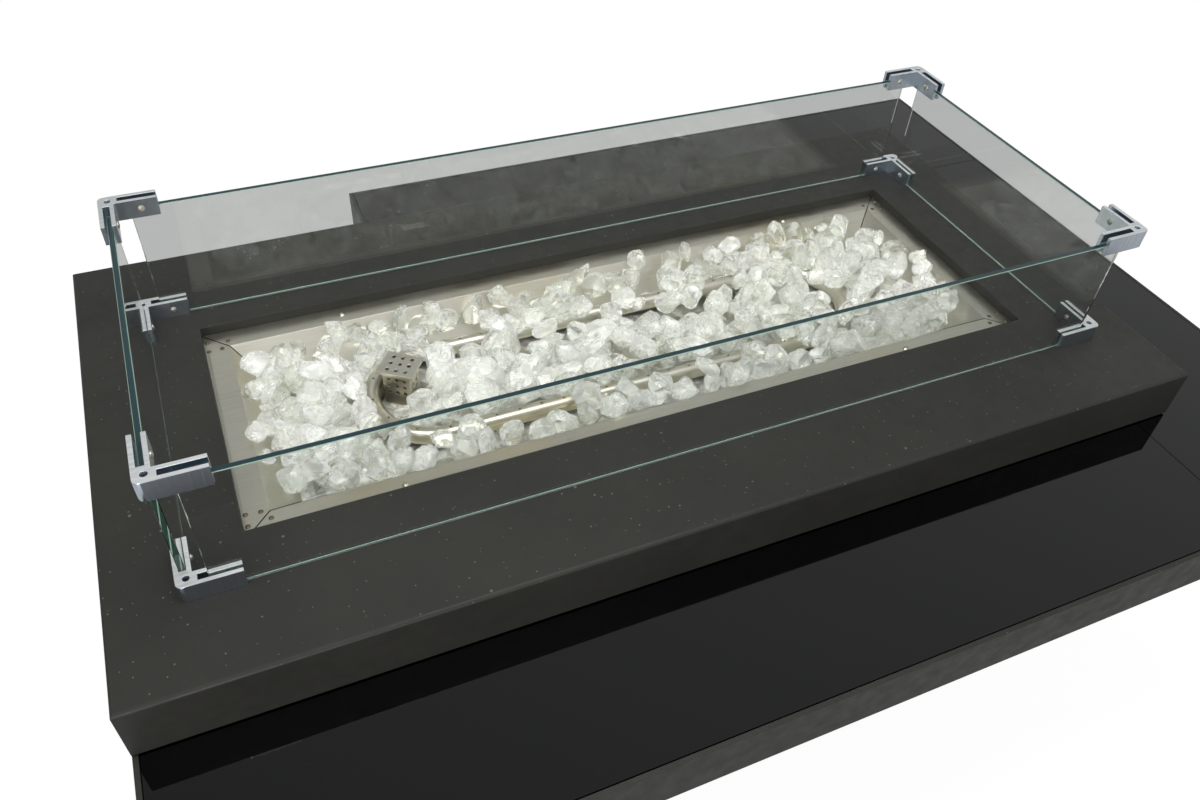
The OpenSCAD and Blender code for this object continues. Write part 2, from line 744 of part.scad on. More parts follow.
// Control plate and gas valve; each turning part is drawn along +X from its own place
module along_x(x, y, z) {
    translate([x, y, z]) rotate([0, 90, 0]) children();
}
barrel_r = button_r + clear + 1.7;
module control_plate() {
    color(black) difference() {
        slab(plate_x, cab_l, plate_y - plate_w / 2, plate_y + plate_w / 2, plate_z - plate_h / 2,
            plate_z + plate_h / 2);
        along_x(plate_x - eps, knob_y, knob_z) cylinder(r = nose_r + clear, h = plate_t + 2 * eps);
        along_x(plate_x - eps, plate_y, igniter_z) cylinder(r = barrel_r + clear, h = plate_t + 2 * eps);
        at_plate_screws() screw_hole();
    }
}
module gas_valve() {
    stem_room = 20;
    color(brass) difference() {
        union() {
            along_x(nose_end, knob_y, knob_z) cylinder(r = nose_r, h = valve_x - nose_end + eps);
            along_x(cab_l, knob_y, knob_z) cylinder(r = nose_r + 4, h = valve_x - cab_l + eps);
            slab(valve_x, valve_x + valve_l, knob_y - valve_w / 2, knob_y + valve_w / 2,
                knob_z - valve_h / 2, knob_z + valve_h / 2);
            translate([feed_x, feed_y, knob_z]) cylinder(r = feed_r + 3, h = valve_h / 2 + 6, $fn = 6);
            translate([feed_x, pilot_out_y, knob_z])
                cylinder(r = pilot_tube_r + 3, h = valve_h / 2 + 6, $fn = 6);
        }
        along_x(nose_end - eps, knob_y, knob_z)
            cylinder(r = stem_r + running, h = valve_x + stem_room - nose_end);
        along_x(pocket_x, knob_y, knob_z) cylinder(r = pocket_r, h = pocket_l);
        translate([feed_x, feed_y, knob_z + valve_h / 2 - 4]) cylinder(r = feed_r + clear, h = 12);
        translate([feed_x, pilot_out_y, knob_z + valve_h / 2 - 4]) cylinder(r = pilot_tube_r + clear, h = 12);
        along_x(valve_x + valve_l - 6, knob_y, knob_z) cylinder(r = inlet_r - 2 + clear, h = 6 + eps);
    }
}
module valve_nut() {
    color(zinc) along_x(plate_x - nut_t, knob_y, knob_z) difference() {
        cylinder(r = nut_r, h = nut_t, $fn = 6);
        translate([0, 0, -eps]) cylinder(r = nose_r + clear, h = nut_t + 2 * eps);
    }
}
module stem_collar() {
    color(steel) along_x(collar_x, knob_y, knob_z) difference() {
        cylinder(r = collar_r, h = collar_t);
        translate([0, 0, -eps]) cylinder(r = stem_r + running, h = collar_t + 2 * eps);
    }
}
stem_in_knob = 15;
module valve_stem() {
    stem_end = valve_x + 8;
    color(steel) along_x(knob_x - stem_in_knob, knob_y, knob_z)
        cylinder(r = stem_r, h = stem_end - knob_x + stem_in_knob);
    color(steel) along_x(collar_x - shoulder_t, knob_y, knob_z) cylinder(r = stem_r + 1.4, h = shoulder_t);
}
module control_knob() {
    disc_t = 7;
    bar_w = 12;
    flutes = 18;
    color(black) along_x(knob_x, knob_y, knob_z) difference() {
        union() {
            translate([0, 0, -disc_t]) cylinder(r = knob_r, h = disc_t);
            translate([0, 0, -disc_t - 3]) cylinder(r = knob_r - 4, h = 3 + eps);
            intersection() {
                translate([0, 0, -knob_l]) cylinder(r = knob_r - 4, h = knob_l);
                translate([-knob_r, -bar_w / 2, -knob_l]) cube([2 * knob_r, bar_w, knob_l]);
            }
        }
        for (i = [0 : flutes - 1]) rotate([0, 0, i * 360 / flutes]) translate([knob_r + 1, 0, -disc_t - eps])
            cylinder(r = 2.2, h = disc_t + 2 * eps);
        translate([0, 0, -stem_in_knob - clear]) cylinder(r = stem_r + running, h = stem_in_knob + 2 * eps);
        translate([-knob_r, -0.8, -knob_l - eps]) cube([knob_r - 4, 1.6, eps + 0.8]);
    }
}
module igniter_body() {
    rim_t = 3;
    barrel_l = 34;
    color(black) difference() {
        union() {
            along_x(plate_x - rim_t, plate_y, igniter_z) cylinder(r = ring_r, h = rim_t);
            along_x(plate_x - rim_t, plate_y, igniter_z) cylinder(r = barrel_r, h = barrel_l);
            along_x(cab_l, plate_y, igniter_z) cylinder(r = ring_r, h = 4, $fn = 6);
        }
        along_x(plate_x - rim_t - eps, plate_y, igniter_z) cylinder(r = button_r + clear, h = 22);
    }
}
module igniter_button() {
    proud = button_travel + 2;
    button_l = proud + 13;
    color(black) along_x(plate_x - 3 - proud, plate_y, igniter_z) union() {
        cylinder(r = button_r - 1, h = button_l);
        translate([0, 0, 1]) cylinder(r = button_r, h = button_l - 1);
    }
}

// Gas train behind the controls
module gas_inlet() {
    hex_l = 9;
    seat = 5;
    color(brass) along_x(valve_x + valve_l, knob_y, knob_z) difference() {
        union() {
            cylinder(r = inlet_r + 3.6, h = hex_l, $fn = 6);
            translate([0, 0, hex_l]) cylinder(r = inlet_r, h = inlet_l);
            translate([0, 0, -seat]) cylinder(r = inlet_r - 2, h = seat + eps);
        }
        translate([0, 0, hex_l + inlet_l - 10]) cylinder(r = inlet_r - 4, h = 10 + eps);
    }
}

// Quarter bend in the XY plane: it comes in along +Y at the origin and leaves along +X
module bend(r, pipe_r) {
    translate([r, 0, 0]) rotate([0, 0, 90]) rotate_extrude(angle = 90) translate([r, 0]) circle(pipe_r);
}
module feed_pipe() {
    color(brass) {
        z0 = knob_z + valve_h / 2 - 2;
        translate([feed_x, feed_y, z0]) cylinder(r = feed_r, h = feed_z - pipe_bend - z0);
        translate([feed_x, feed_y, feed_z - pipe_bend]) rotate([90, 0, 90]) bend(pipe_bend, feed_r);
        translate([feed_x, feed_y + pipe_bend, feed_z]) rotate([-90, 0, 0])
            cylinder(r = feed_r, h = -feed_y - 2 * pipe_bend);
        translate([feed_x, -pipe_bend, feed_z]) bend(pipe_bend, feed_r);
        along_x(feed_x + pipe_bend, 0, feed_z)
            cylinder(r = feed_r, h = pan_x - mixer_r + 5 - feed_x - pipe_bend);
    }
}
module air_mixer() {
    low = feed_z - 12;
    top = stub_z + 10;
    color(brass) difference() {
        union() {
            translate([pan_x, 0, low]) cylinder(r = mixer_r, h = top - low);
            translate([pan_x, 0, low]) cylinder(r = mixer_r + 2, h = 6, $fn = 6);
        }
        translate([pan_x, 0, stub_z]) cylinder(r = tube_r + clear, h = top - stub_z + eps);
        translate([pan_x, 0, low + 4]) cylinder(r = 6, h = top - low);
        along_x(pan_x - mixer_r - eps, 0, feed_z) cylinder(r = feed_r + clear, h = mixer_r);
        translate([pan_x, 0, stub_z - 6]) rotate([90, 0, 0])
            cylinder(r = 3.5, h = 3 * mixer_r, center = true);
    }
}
module pilot_tube() {
    z0 = knob_z + valve_h / 2 - 2;
    run_y = pilot_out_y;
    x1 = pilot_place[0];
    y1 = pilot_place[1];
    color(aluminium) {
        translate([feed_x, run_y, z0]) cylinder(r = pilot_tube_r, h = pilot_run_z - pilot_bend - z0);
        translate([feed_x, run_y, pilot_run_z - pilot_bend]) rotate([90, 0, 0])
            bend(pilot_bend, pilot_tube_r);
        along_x(feed_x + pilot_bend, run_y, pilot_run_z)
            cylinder(r = pilot_tube_r, h = x1 - feed_x - 2 * pilot_bend);
        translate([x1 - pilot_bend, run_y, pilot_run_z]) mirror([1, -1, 0]) bend(pilot_bend, pilot_tube_r);
        translate([x1, run_y + pilot_bend, pilot_run_z]) rotate([-90, 0, 0])
            cylinder(r = pilot_tube_r, h = y1 - run_y - 2 * pilot_bend);
        translate([x1, y1 - pilot_bend, pilot_run_z]) rotate([0, -90, 0]) bend(pilot_bend, pilot_tube_r);
        translate([x1, y1, pilot_run_z + pilot_bend])
            cylinder(r = pilot_tube_r, h = pilot_low_z - pilot_run_z - pilot_bend);
    }
}

// Burner pan: flange and sloping walls folded from one sheet, with open seams at the corners
module at_pan_screws() {
    for (x = [-1, 1]) for (y = [-1, 1])
        translate([pan_x + x * pan_screw_at[0], y * pan_screw_at[1], flange_z]) children();
}
module at_rivets() {
    for (i = [0, 1]) for (j = [0, 1]) translate([pan_x, 0, flange_z]) mirror([i, 0, 0]) mirror([0, j, 0])
        for (p = rivet_ats) translate([opening_w / 2 - p[0], opening_d / 2 - p[1], 0]) children();
}
module burner_pan() {
    slot_l = 34;
    slot_h = 5;
    slot_pitch = 2 * pan_xi / (slot_count + 0.5);
    color(steel) difference() {
        union() {
            slab(pan_x - flange_xo, pan_x + flange_xo, -flange_yo, flange_yo, flange_z - pan_t, flange_z);
            hopper(pan_xi + pan_skin, pan_yi + pan_skin, flange_z, pan_floor_z - pan_t, pan_rake);
        }
        hopper(pan_xi + eps * pan_rake, pan_yi + eps * pan_rake, flange_z + eps, pan_floor_z, pan_rake);
        for (i = [0, 1]) for (j = [0, 1]) translate([pan_x, 0, 0]) mirror([i, 0, 0]) mirror([0, j, 0])
            translate([floor_x, floor_y, pan_floor_z + 3]) rotate([0, 0, 45])
                translate([0, -seam_w / 2, 0]) cube([2 * pan_slope, seam_w, pan_depth]);
        for (i = [0 : slot_count - 1])
            translate([pan_x + (i - (slot_count - 1) / 2) * slot_pitch, 5 * pan_rake - pan_yi, flange_z - 5])
                cube([slot_l, 5 * slot_h, slot_h], center = true);
        at_pan_screws() cylinder(r = pan_screw_r + clear, h = 4 * pan_t, center = true);
        at_rivets() cylinder(r = rivet_r + clear / 3, h = 4 * pan_t, center = true);
        translate([pan_x, 0, pan_floor_z - 2 * pan_t]) cylinder(r = tube_r + clear, h = 3 * pan_t);
        translate([pilot_place[0], pilot_place[1], pan_floor_z - 2 * pan_t]) cylinder(r = 15, h = 3 * pan_t);
    }
}
module pan_rivets() {
    color(steel) at_rivets() dome_screw(2.6, 1.2, rivet_r, pan_t);
}
module pan_screws() {
    cross = 1;
    color(steel) at_pan_screws() difference() {
        dome_screw(4, 2.2, pan_screw_r, 9);
        translate([-2.6, -cross / 2, 1]) cube([5.2, cross, 3]);
        translate([-cross / 2, -2.6, 1]) cube([cross, 5.2, 3]);
    }
}

// Burner: a racetrack of tube with a cross tube and an inlet at its middle
module at_burner() {
    translate([pan_x, 0, 0]) children();
}
module racetrack(r) {
    for (flip = [0, 1]) {
        mirror([0, flip, 0]) along_x(-burner_l / 2, burner_y, 0) cylinder(r = r, h = burner_l);
        mirror([flip, 0, 0]) translate([burner_l / 2, 0, 0]) rotate([0, 0, -90])
            rotate_extrude(angle = 180) translate([burner_y, 0]) circle(r);
    }
    rotate([90, 0, 0]) cylinder(r = r - 1, h = burner_w, center = true);
}
module burner_tube() {
    ports = floor(burner_l / 2 / port_pitch);
    color(steel) at_burner() translate([0, 0, burner_z]) difference() {
        union() {
            racetrack(tube_r);
            translate([0, 0, stub_z - burner_z]) cylinder(r = tube_r, h = burner_z - stub_z);
        }
        racetrack(tube_r - tube_wall);
        translate([0, 0, stub_z - burner_z - eps])
            cylinder(r = tube_r - tube_wall, h = burner_z - stub_z + eps);
        for (i = [-ports : ports]) for (side = [-1, 1])
            translate([i * port_pitch, side * burner_y, 0]) cylinder(r = port_r, h = tube_r + eps);
        for (a = [-60 : 30 : 60]) for (end = [0, 180]) rotate([0, 0, end]) translate([burner_l / 2, 0, 0])
            rotate([0, 0, a]) translate([burner_y, 0, 0]) cylinder(r = port_r, h = tube_r + eps);
    }
}
module at_brackets() {
    at_burner() for (x = [-1, 1]) for (j = [0, 1])
        translate([x * bracket_x, 0, 0]) mirror([0, j, 0]) translate([0, burner_y, 0]) children();
}
module burner_brackets() {
    saddle_r = tube_r + running;
    leg_h = burner_z - saddle_r - pan_floor_z;
    color(steel) at_brackets() {
        translate([-bracket_w / 2, bracket_t - bracket_foot, pan_floor_z])
            cube([bracket_w, bracket_foot, bracket_t]);
        translate([-bracket_w / 2, -bracket_t / 2, pan_floor_z]) cube([bracket_w, bracket_t, leg_h]);
        translate([-bracket_w / 2, 0, burner_z]) rotate([90, 0, 90]) difference() {
            cylinder(r = saddle_r + bracket_t, h = bracket_w);
            translate([0, 0, -eps]) cylinder(r = saddle_r, h = bracket_w + 2 * eps);
            translate([-2 * tube_r, -2, -eps]) cube([4 * tube_r, 4 * tube_r, bracket_w + 2 * eps]);
        }
    }
}

// Pilot set under its perforated cover
foot_l = cover_l + 5;
foot_w = cover_w + 5;
cover_box_l = cover_l - 2 * cover_lip;
cover_box_w = cover_w - 2 * cover_lip;
bridge_rise = 20;
rod_rise = 20;
bridge_z = pilot_plate_z + bridge_rise;
pilot_low_z = pan_floor_z - 14;
pilot_rod_r = 2.4;
pilot_head_r = 4;
rod_places = [[-9.3, 4], [9.3, 4]];
module at_pilot() {
    translate([pilot_place[0], pilot_place[1], 0]) rotate([0, 0, cover_turn]) children();
}
module pilot_bracket() {
    bridge_l = cover_box_l - 2 * (cover_t + clear);
    color(steel) at_pilot() difference() {
        union() {
            translate([-foot_l / 2, -foot_w / 2, pan_floor_z]) cube([foot_l, foot_w, pilot_plate_t]);
            translate([-bridge_l / 2, -9, bridge_z]) cube([bridge_l, 18, pilot_plate_t]);
            for (x = [-bridge_l / 2, bridge_l / 2 - pilot_plate_t])
                translate([x, -9, pan_floor_z])
                    cube([pilot_plate_t, 18, bridge_z - pan_floor_z + pilot_plate_t]);
        }
        cylinder(r = pilot_head_r + clear, h = 2 * table_h, center = true);
        for (p = rod_places) translate([p[0], p[1], 0])
            cylinder(r = pilot_rod_r + clear, h = 2 * table_h, center = true);
    }
}
module pilot_cover() {
    hole_r = 2.1;
    hole_pitch = 10.5;
    side_pitch = 9;
    lid_h = 4;
    top = pilot_plate_z + cover_h;
    low = top - lid_h;
    color(steel) at_pilot() difference() {
        union() {
            translate([-cover_l / 2, -cover_w / 2, low]) cube([cover_l, cover_w, lid_h]);
            translate([-cover_box_l / 2, -cover_box_w / 2, pilot_plate_z])
                cube([cover_box_l, cover_box_w, low - pilot_plate_z + cover_t]);
        }
        translate([cover_t - cover_l / 2, cover_t - cover_w / 2, low + cover_t])
            cube([cover_l - 2 * cover_t, cover_w - 2 * cover_t, lid_h - 2 * cover_t]);
        translate([cover_t - cover_box_l / 2, cover_t - cover_box_w / 2, pilot_plate_z - eps])
            cube([cover_box_l - 2 * cover_t, cover_box_w - 2 * cover_t,
                low - pilot_plate_z + cover_t + 2 * eps]);
        for (i = [-1 : 1]) for (j = [-1 : 1]) translate([i * hole_pitch, j * hole_pitch, top - 2 * cover_t])
            cylinder(r = hole_r, h = 3 * cover_t);
        for (i = [-1 : 1]) for (j = [1 : 3]) translate([i * side_pitch, 0, low - j * side_pitch])
            rotate([90, 0, 0])
            cylinder(r = hole_r, h = 2 * cover_w, center = true);
        for (i = [-1, 1]) for (j = [1 : 3]) translate([0, i * side_pitch / 2, low - j * side_pitch])
            rotate([0, 90, 0])
            cylinder(r = hole_r, h = 2 * cover_l, center = true);
    }
}
module pilot_burner() {
    head_z = bridge_z + pilot_plate_t;
    color(brass) at_pilot() difference() {
        union() {
            translate([0, 0, pilot_low_z]) cylinder(r = pilot_head_r, h = head_z - pilot_low_z + 8);
            translate([0, 0, head_z]) cylinder(r = pilot_head_r + 2, h = 5, $fn = 6);
            translate([-5, -5, head_z + 8]) cube([10, 10, 8]);
        }
        translate([0, 0, pilot_low_z - eps]) cylinder(r = pilot_tube_r + clear, h = 8);
        translate([-3.5, -6, head_z + 10]) cube([7, 12, 4]);
    }
}
module thermocouple() {
    color(steel) at_pilot() translate([rod_places[1][0], rod_places[1][1], pilot_low_z - 6]) {
        cylinder(r = pilot_rod_r, h = bridge_z + rod_rise - pilot_low_z + 6);
        translate([0, 0, bridge_z + pilot_plate_t - pilot_low_z + 6]) cylinder(r = pilot_rod_r + 1.2, h = 3);
    }
}
module spark_electrode() {
    color(ceramic) at_pilot() translate([rod_places[0][0], rod_places[0][1], pilot_low_z - 6]) {
        cylinder(r = pilot_rod_r, h = bridge_z + rod_rise - 6 - pilot_low_z + 6);
        cylinder(r = 0.8, h = bridge_z + rod_rise + 2 - pilot_low_z + 6);
        translate([0, 0, bridge_z + pilot_plate_t - pilot_low_z + 6]) cylinder(r = pilot_rod_r + 1.2, h = 4);
    }
}

// Fire glass: the buried layers are one bed, and the chunks that show lie on it
module fire_glass_bed() {
    color(chunk_glass) difference() {
        hopper(floor_x + (bed_z - pan_floor_z) * pan_rake - clear,
            floor_y + (bed_z - pan_floor_z) * pan_rake - clear,
            bed_z, pan_floor_z, pan_rake);
        translate([pan_x, 0, pan_floor_z - eps]) cylinder(r = tube_r + loose, h = bed_h + 2 * eps);
        at_brackets() translate([-bracket_w / 2 - loose, bracket_t - bracket_foot - loose, pan_floor_z - eps])
            cube([bracket_w + 2 * loose, bracket_foot + 2 * loose, bed_h + 2 * eps]);
        at_pilot() translate([-foot_l / 2 - loose, -foot_w / 2 - loose, pan_floor_z - eps])
            cube([foot_l + 2 * loose, foot_w + 2 * loose, bed_h + 2 * eps]);
    }
}

// Chunk of broken glass round a seed number: a seven-sided prism cut by three tilted blocks
module chunk(r, h, seed) {
    spin = 137.5 * seed;
    rise = h * (0.78 + 0.22 * abs(sin(53 * seed)));
    lean = 13 + 9 * sin(71 * seed);
    tall = 1.9 * max(r, rise / 1.6);
    rotate([0, 0, spin]) intersection() {
        cylinder(r = r, h = rise, $fn = 7);
        translate([0, 0, rise * 0.42]) rotate([lean, -lean, 0])
            cube([1.85 * r, 1.65 * r, 1.15 * rise], center = true);
        translate([0, 0, rise * 0.45]) rotate([45 + lean, 8, 40]) cube([1.9 * r, tall, tall], center = true);
        translate([0, 0, rise * 0.4]) rotate([-20, 30 + lean, 95])
            cube([1.9 * r, 1.9 * r, tall], center = true);
    }
}
module chunks(places, r, h) {
    color(chunk_glass) intersection() {
        at_burner() for (i = [0 : len(places) - 1])
            translate([places[i][0], places[i][1], bed_z]) chunk(r, h, i + places[i][1] / 10);
        hopper(pan_xi + 2 * pan_rake - loose, pan_yi + 2 * pan_rake - loose, flange_z + 2, bed_z, pan_rake);
    }
}

// Places of the chunks from the burner's middle, clear of its tubes and of the pilot
track_r = tube_r + bracket_t + clear;
pilot_keep = norm([cover_l, cover_w]) / 2;
pilot_at = [pilot_x, pilot_y];
function past_run(p) = [max(abs(p[0]) - burner_l / 2, 0), p[1]];
function clear_of_pilot(p, r) = norm(p - pilot_at) > pilot_keep + r + clear;
function grid(xs, ys) = [for (y = ys) for (x = xs) [x, y]];
cols = floor((burner_l / 2 + 30) / chunk_pitch);
middle_room = burner_y - track_r - chunk_r;
middle_places = [for (p = grid([for (i = [-cols : cols]) i * chunk_pitch], [-1, 0, 1] * middle_room))
    if (norm(past_run(p)) <= middle_room + 0.01 && clear_of_pilot(p, chunk_r)
        && abs(p[0]) > tube_r + chunk_r) p];
edge_y = burner_y + track_r + chip_r;
chips = floor((burner_l / 2 + 8) / chip_pitch);
edge_places = grid([for (i = [-chips : chips]) i * chip_pitch], [-edge_y, edge_y]);
end_pitch = 2 * end_r + 1;
end_places = [for (p = grid([for (i = [0 : 5]) floor_x - i * end_pitch], [for (j = [-3 : 3]) j * end_pitch]))
    if (norm(past_run(p)) > burner_y + track_r + end_r) each [p, [-p[0], p[1]]]];
module fire_glass_middle() {
    chunks(middle_places, chunk_r, chunk_h);
}
module fire_glass_edges() {
    chunks(edge_places, chip_r, chunk_h * 0.85);
}
module fire_glass_ends() {
    chunks(end_places, end_r, chunk_h * 0.9);
}

// Door, its hinges, handle and catch
module door_panel() {
    y0 = door_y0 + door_gap;
    y1 = door_y1 - door_gap;
    z0 = door_z + door_gap;
    z1 = door_z1 - door_gap;
    color(dark_metal) difference() {
        slab(cab_l, cab_l + door_fold, y0, y1, z0, z1);
        slab(cab_l + panel_t, cab_l + door_fold + eps, y0 + panel_t, y1 - panel_t, z0 + panel_t,
            z1 - panel_t);
        for (end = [-1, 1]) along_x(cab_l - eps, handle_y, handle_z + end * (handle_l / 2 - handle_r))
            cylinder(r = handle_stud_r + clear, h = panel_t + 2 * eps);
    }
}
handle_stud_r = 2.5;
module door_handle() {
    turn = 3 * handle_r;
    bar_x = cab_l - handle_out + handle_r;
    foot_z = handle_l / 2 - handle_r;
    color(steel) translate([0, handle_y, handle_z]) {
        translate([bar_x, 0, turn - foot_z]) cylinder(r = handle_r, h = 2 * (foot_z - turn));
        for (flip = [0, 1]) mirror([0, 0, flip]) {
            translate([bar_x, 0, foot_z - turn]) rotate([90, 0, 0]) bend(turn, handle_r);
            along_x(bar_x + turn, 0, foot_z) cylinder(r = handle_r, h = cab_l - bar_x - turn);
            along_x(cab_l - eps, 0, foot_z) cylinder(r = handle_stud_r, h = eps + panel_t + 5);
        }
    }
}
knuckle_l = hinge_l / 3;
module knuckle(z0, z1) {
    translate([hinge_x, hinge_y, z0]) cylinder(r = knuckle_r, h = z1 - z0);
}
module pin_holes() {
    for (z = hinge_zs) translate([hinge_x, hinge_y, z - hinge_l])
        cylinder(r = hinge_pin_r + running, h = 2 * hinge_l);
}
module hinge_door_leaves() {
    half = knuckle_l / 2 - clear / 2;
    color(steel) difference() {
        for (z = hinge_zs) {
            knuckle(z - half, z + half);
            slab(cab_l - leaf_t, cab_l, hinge_y - leaf_w, hinge_y - knuckle_r - clear, z - hinge_l / 2,
                z + hinge_l / 2);
            slab(cab_l - leaf_t, cab_l, hinge_y - knuckle_r - eps, hinge_y, z - half, z + half);
        }
        pin_holes();
    }
}
module hinge_fixed_leaves() {
    half = knuckle_l / 2 + clear / 2;
    color(steel) difference() {
        for (z = hinge_zs) {
            slab(cab_l - leaf_t, cab_l, hinge_y + knuckle_r + clear, hinge_y + leaf_w, z - hinge_l / 2,
                z + hinge_l / 2);
            for (flip = [-1, 1]) {
                near = z + flip * half;
                far = z + flip * hinge_l / 2;
                knuckle(min(near, far), max(near, far));
                slab(cab_l - leaf_t, cab_l, hinge_y, hinge_y + knuckle_r + eps, min(near, far),
                    max(near, far));
            }
        }
        pin_holes();
    }
}
module hinge_pins() {
    color(steel) for (z = hinge_zs) translate([hinge_x, hinge_y, z - hinge_l / 2]) {
        cylinder(r = hinge_pin_r, h = hinge_l);
        translate([0, 0, hinge_l]) cylinder(r = knuckle_r - 0.8, h = 1.5);
    }
}
catch_z = (door_z + door_z1) / 2;
catch_h = 40;
strike_t = 2;
module door_magnet() {
    back = cab_l + door_fold + strike_t + clear;
    color(black) {
        slab(cab_l + panel_t, back + 12, door_y0 - panel_t - 12, door_y0 - panel_t, catch_z - catch_h / 2,
            catch_z + catch_h / 2);
        slab(back, back + 12, door_y0 - panel_t - eps, door_y0 + 20, catch_z - catch_h / 2,
            catch_z + catch_h / 2);
    }
}
module door_strike() {
    color(zinc) {
        slab(cab_l + door_fold, cab_l + door_fold + strike_t, door_y0 + door_gap, door_y0 + 24,
            catch_z - catch_h / 2, catch_z + catch_h / 2);
    }
}

// Wind guard: four panes in corner clips, held by set screws
module long_glass(side) {
    color(clear_glass) translate([box_x - long_pane / 2, side * pane_y - pane_t / 2 - guard_forward, table_h])
        cube([long_pane, pane_t, pane_h]);
}
module short_glass(side) {
    color(clear_glass) translate([box_x + side * pane_x - pane_t / 2, -short_pane / 2 - guard_forward,
        table_h])
        cube([pane_t, short_pane, pane_h]);
}
module guard_glass_front() {
    long_glass(-1);
}
module guard_glass_back() {
    long_glass(1);
}
module guard_glass_left() {
    short_glass(-1);
}
module guard_glass_right() {
    short_glass(1);
}

// Clip's plan with its centre hole at the origin and its arms along +X and +Y
module clip_plan() {
    arm_l = clip_arm + clip_edge;
    difference() {
        translate([-clip_edge, -clip_edge]) {
            translate([clip_corner, 0]) square([arm_l - clip_corner, arm_w]);
            translate([0, clip_corner]) square([arm_w, arm_l - clip_corner]);
            translate([clip_corner, clip_corner]) circle(clip_corner);
        }
        circle(clip_hole_r);
        for (flip = [0, 1]) mirror([flip, -flip]) translate([slot_start, clip_wall - clip_edge])
            square([clip_arm, pane_slot]);
    }
}
module at_corners(z) {
    translate([box_x, -guard_forward, z]) for (i = [0, 1]) for (j = [0, 1])
        translate([(2 * i - 1) * guard_w / 2, (2 * j - 1) * guard_d / 2, 0]) mirror([i, 0, 0])
            mirror([0, j, 0])
            children();
}
module at_set_screws() {
    for (flip = [0, 1]) mirror([flip, -flip, 0]) translate([set_screw_at, arm_w - clip_edge, clip_h / 2])
        rotate([-90, 0, 0]) children();
}
module clip() {
    difference() {
        linear_extrude(clip_h) clip_plan();
        at_set_screws() translate([0, 0, -clip_wall - 0.1])
            cylinder(r = set_screw_r + clear, h = clip_wall + eps);
    }
}
upper_z = table_h + guard_h - clip_h;
module guard_clips_lower() {
    color(aluminium) at_corners(table_h) clip();
}
module guard_clips_upper() {
    color(aluminium) at_corners(upper_z) clip();
}
module guard_screws() {
    cross = 0.8;
    color(steel) for (z = [table_h, upper_z]) at_corners(z) at_set_screws() difference() {
        dome_screw(3.3, 1.9, set_screw_r, clip_wall + 0.15);
        translate([-2, -cross / 2, 0.9]) cube([4, cross, 3]);
        translate([-cross / 2, -2, 0.9]) cube([cross, 4, 3]);
    }
}

burner_top();
top_frame();
pan_rails();
rest_pads();
tier_frame();
tile_front();
tile_right();
tile_back();
tile_tapes();
tier_gussets();
tier_bolts();
front_panel();
back_panel();
right_panel();
left_panel();
panel_screws();
base_plate();
corner_posts();
floor_glides();
control_plate();
gas_valve();
valve_nut();
stem_collar();
valve_stem();
control_knob();
igniter_body();
igniter_button();
gas_inlet();
feed_pipe();
air_mixer();
pilot_tube();
burner_pan();
pan_rivets();
pan_screws();
burner_tube();
burner_brackets();
pilot_bracket();
pilot_cover();
pilot_burner();
thermocouple();
spark_electrode();
fire_glass_bed();
fire_glass_middle();
fire_glass_edges();
fire_glass_ends();
door_panel();
door_handle();
hinge_door_leaves();
hinge_fixed_leaves();
hinge_pins();
door_magnet();
door_strike();
guard_glass_front();
guard_glass_back();
guard_glass_left();
guard_glass_right();
guard_clips_lower();
guard_clips_upper();
guard_screws();
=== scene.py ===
"""Looks of the gas fire pit table: camera, light, materials and the broken glass over the burner.

Everything is in metres, in the frame of the CAD part: the origin is on the floor under the middle
of the whole footprint, +Z is up and -Y is the side nearest the camera.
"""

import json
import math
import random
from collections import namedtuple

import bmesh
import bpy
from mathutils import Matrix, Vector, noise


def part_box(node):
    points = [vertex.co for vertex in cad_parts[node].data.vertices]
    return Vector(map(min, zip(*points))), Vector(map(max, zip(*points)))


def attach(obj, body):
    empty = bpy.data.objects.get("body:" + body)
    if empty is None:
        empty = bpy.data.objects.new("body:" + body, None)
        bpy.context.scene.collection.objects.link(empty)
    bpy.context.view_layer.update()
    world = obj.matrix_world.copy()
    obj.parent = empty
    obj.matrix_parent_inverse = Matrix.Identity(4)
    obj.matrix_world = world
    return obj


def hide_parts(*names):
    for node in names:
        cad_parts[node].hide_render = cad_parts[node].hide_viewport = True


MM = 0.001

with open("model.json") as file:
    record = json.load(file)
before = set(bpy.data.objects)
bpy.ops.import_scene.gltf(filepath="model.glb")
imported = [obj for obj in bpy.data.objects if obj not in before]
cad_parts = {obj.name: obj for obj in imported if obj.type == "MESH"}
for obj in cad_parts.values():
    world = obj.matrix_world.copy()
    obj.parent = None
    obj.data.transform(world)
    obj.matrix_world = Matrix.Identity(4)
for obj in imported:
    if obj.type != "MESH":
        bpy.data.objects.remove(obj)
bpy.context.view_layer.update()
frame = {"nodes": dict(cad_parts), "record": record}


# Camera

IMAGE_W, IMAGE_H = 1200, 800
FOCAL_PIXELS = 983.3
CENTRE_PIXEL = (602.4, 399.8)
SENSOR_W = 36.0
NEAR_CLIP = 0.05
CAMERA_PLACE = Vector((-0.5019, -0.7939, 1.3541))
CAMERA_AZIMUTH = math.radians(26.26)
CAMERA_ELEVATION = math.radians(43.84)
CAMERA_ROLL = math.radians(4.193)


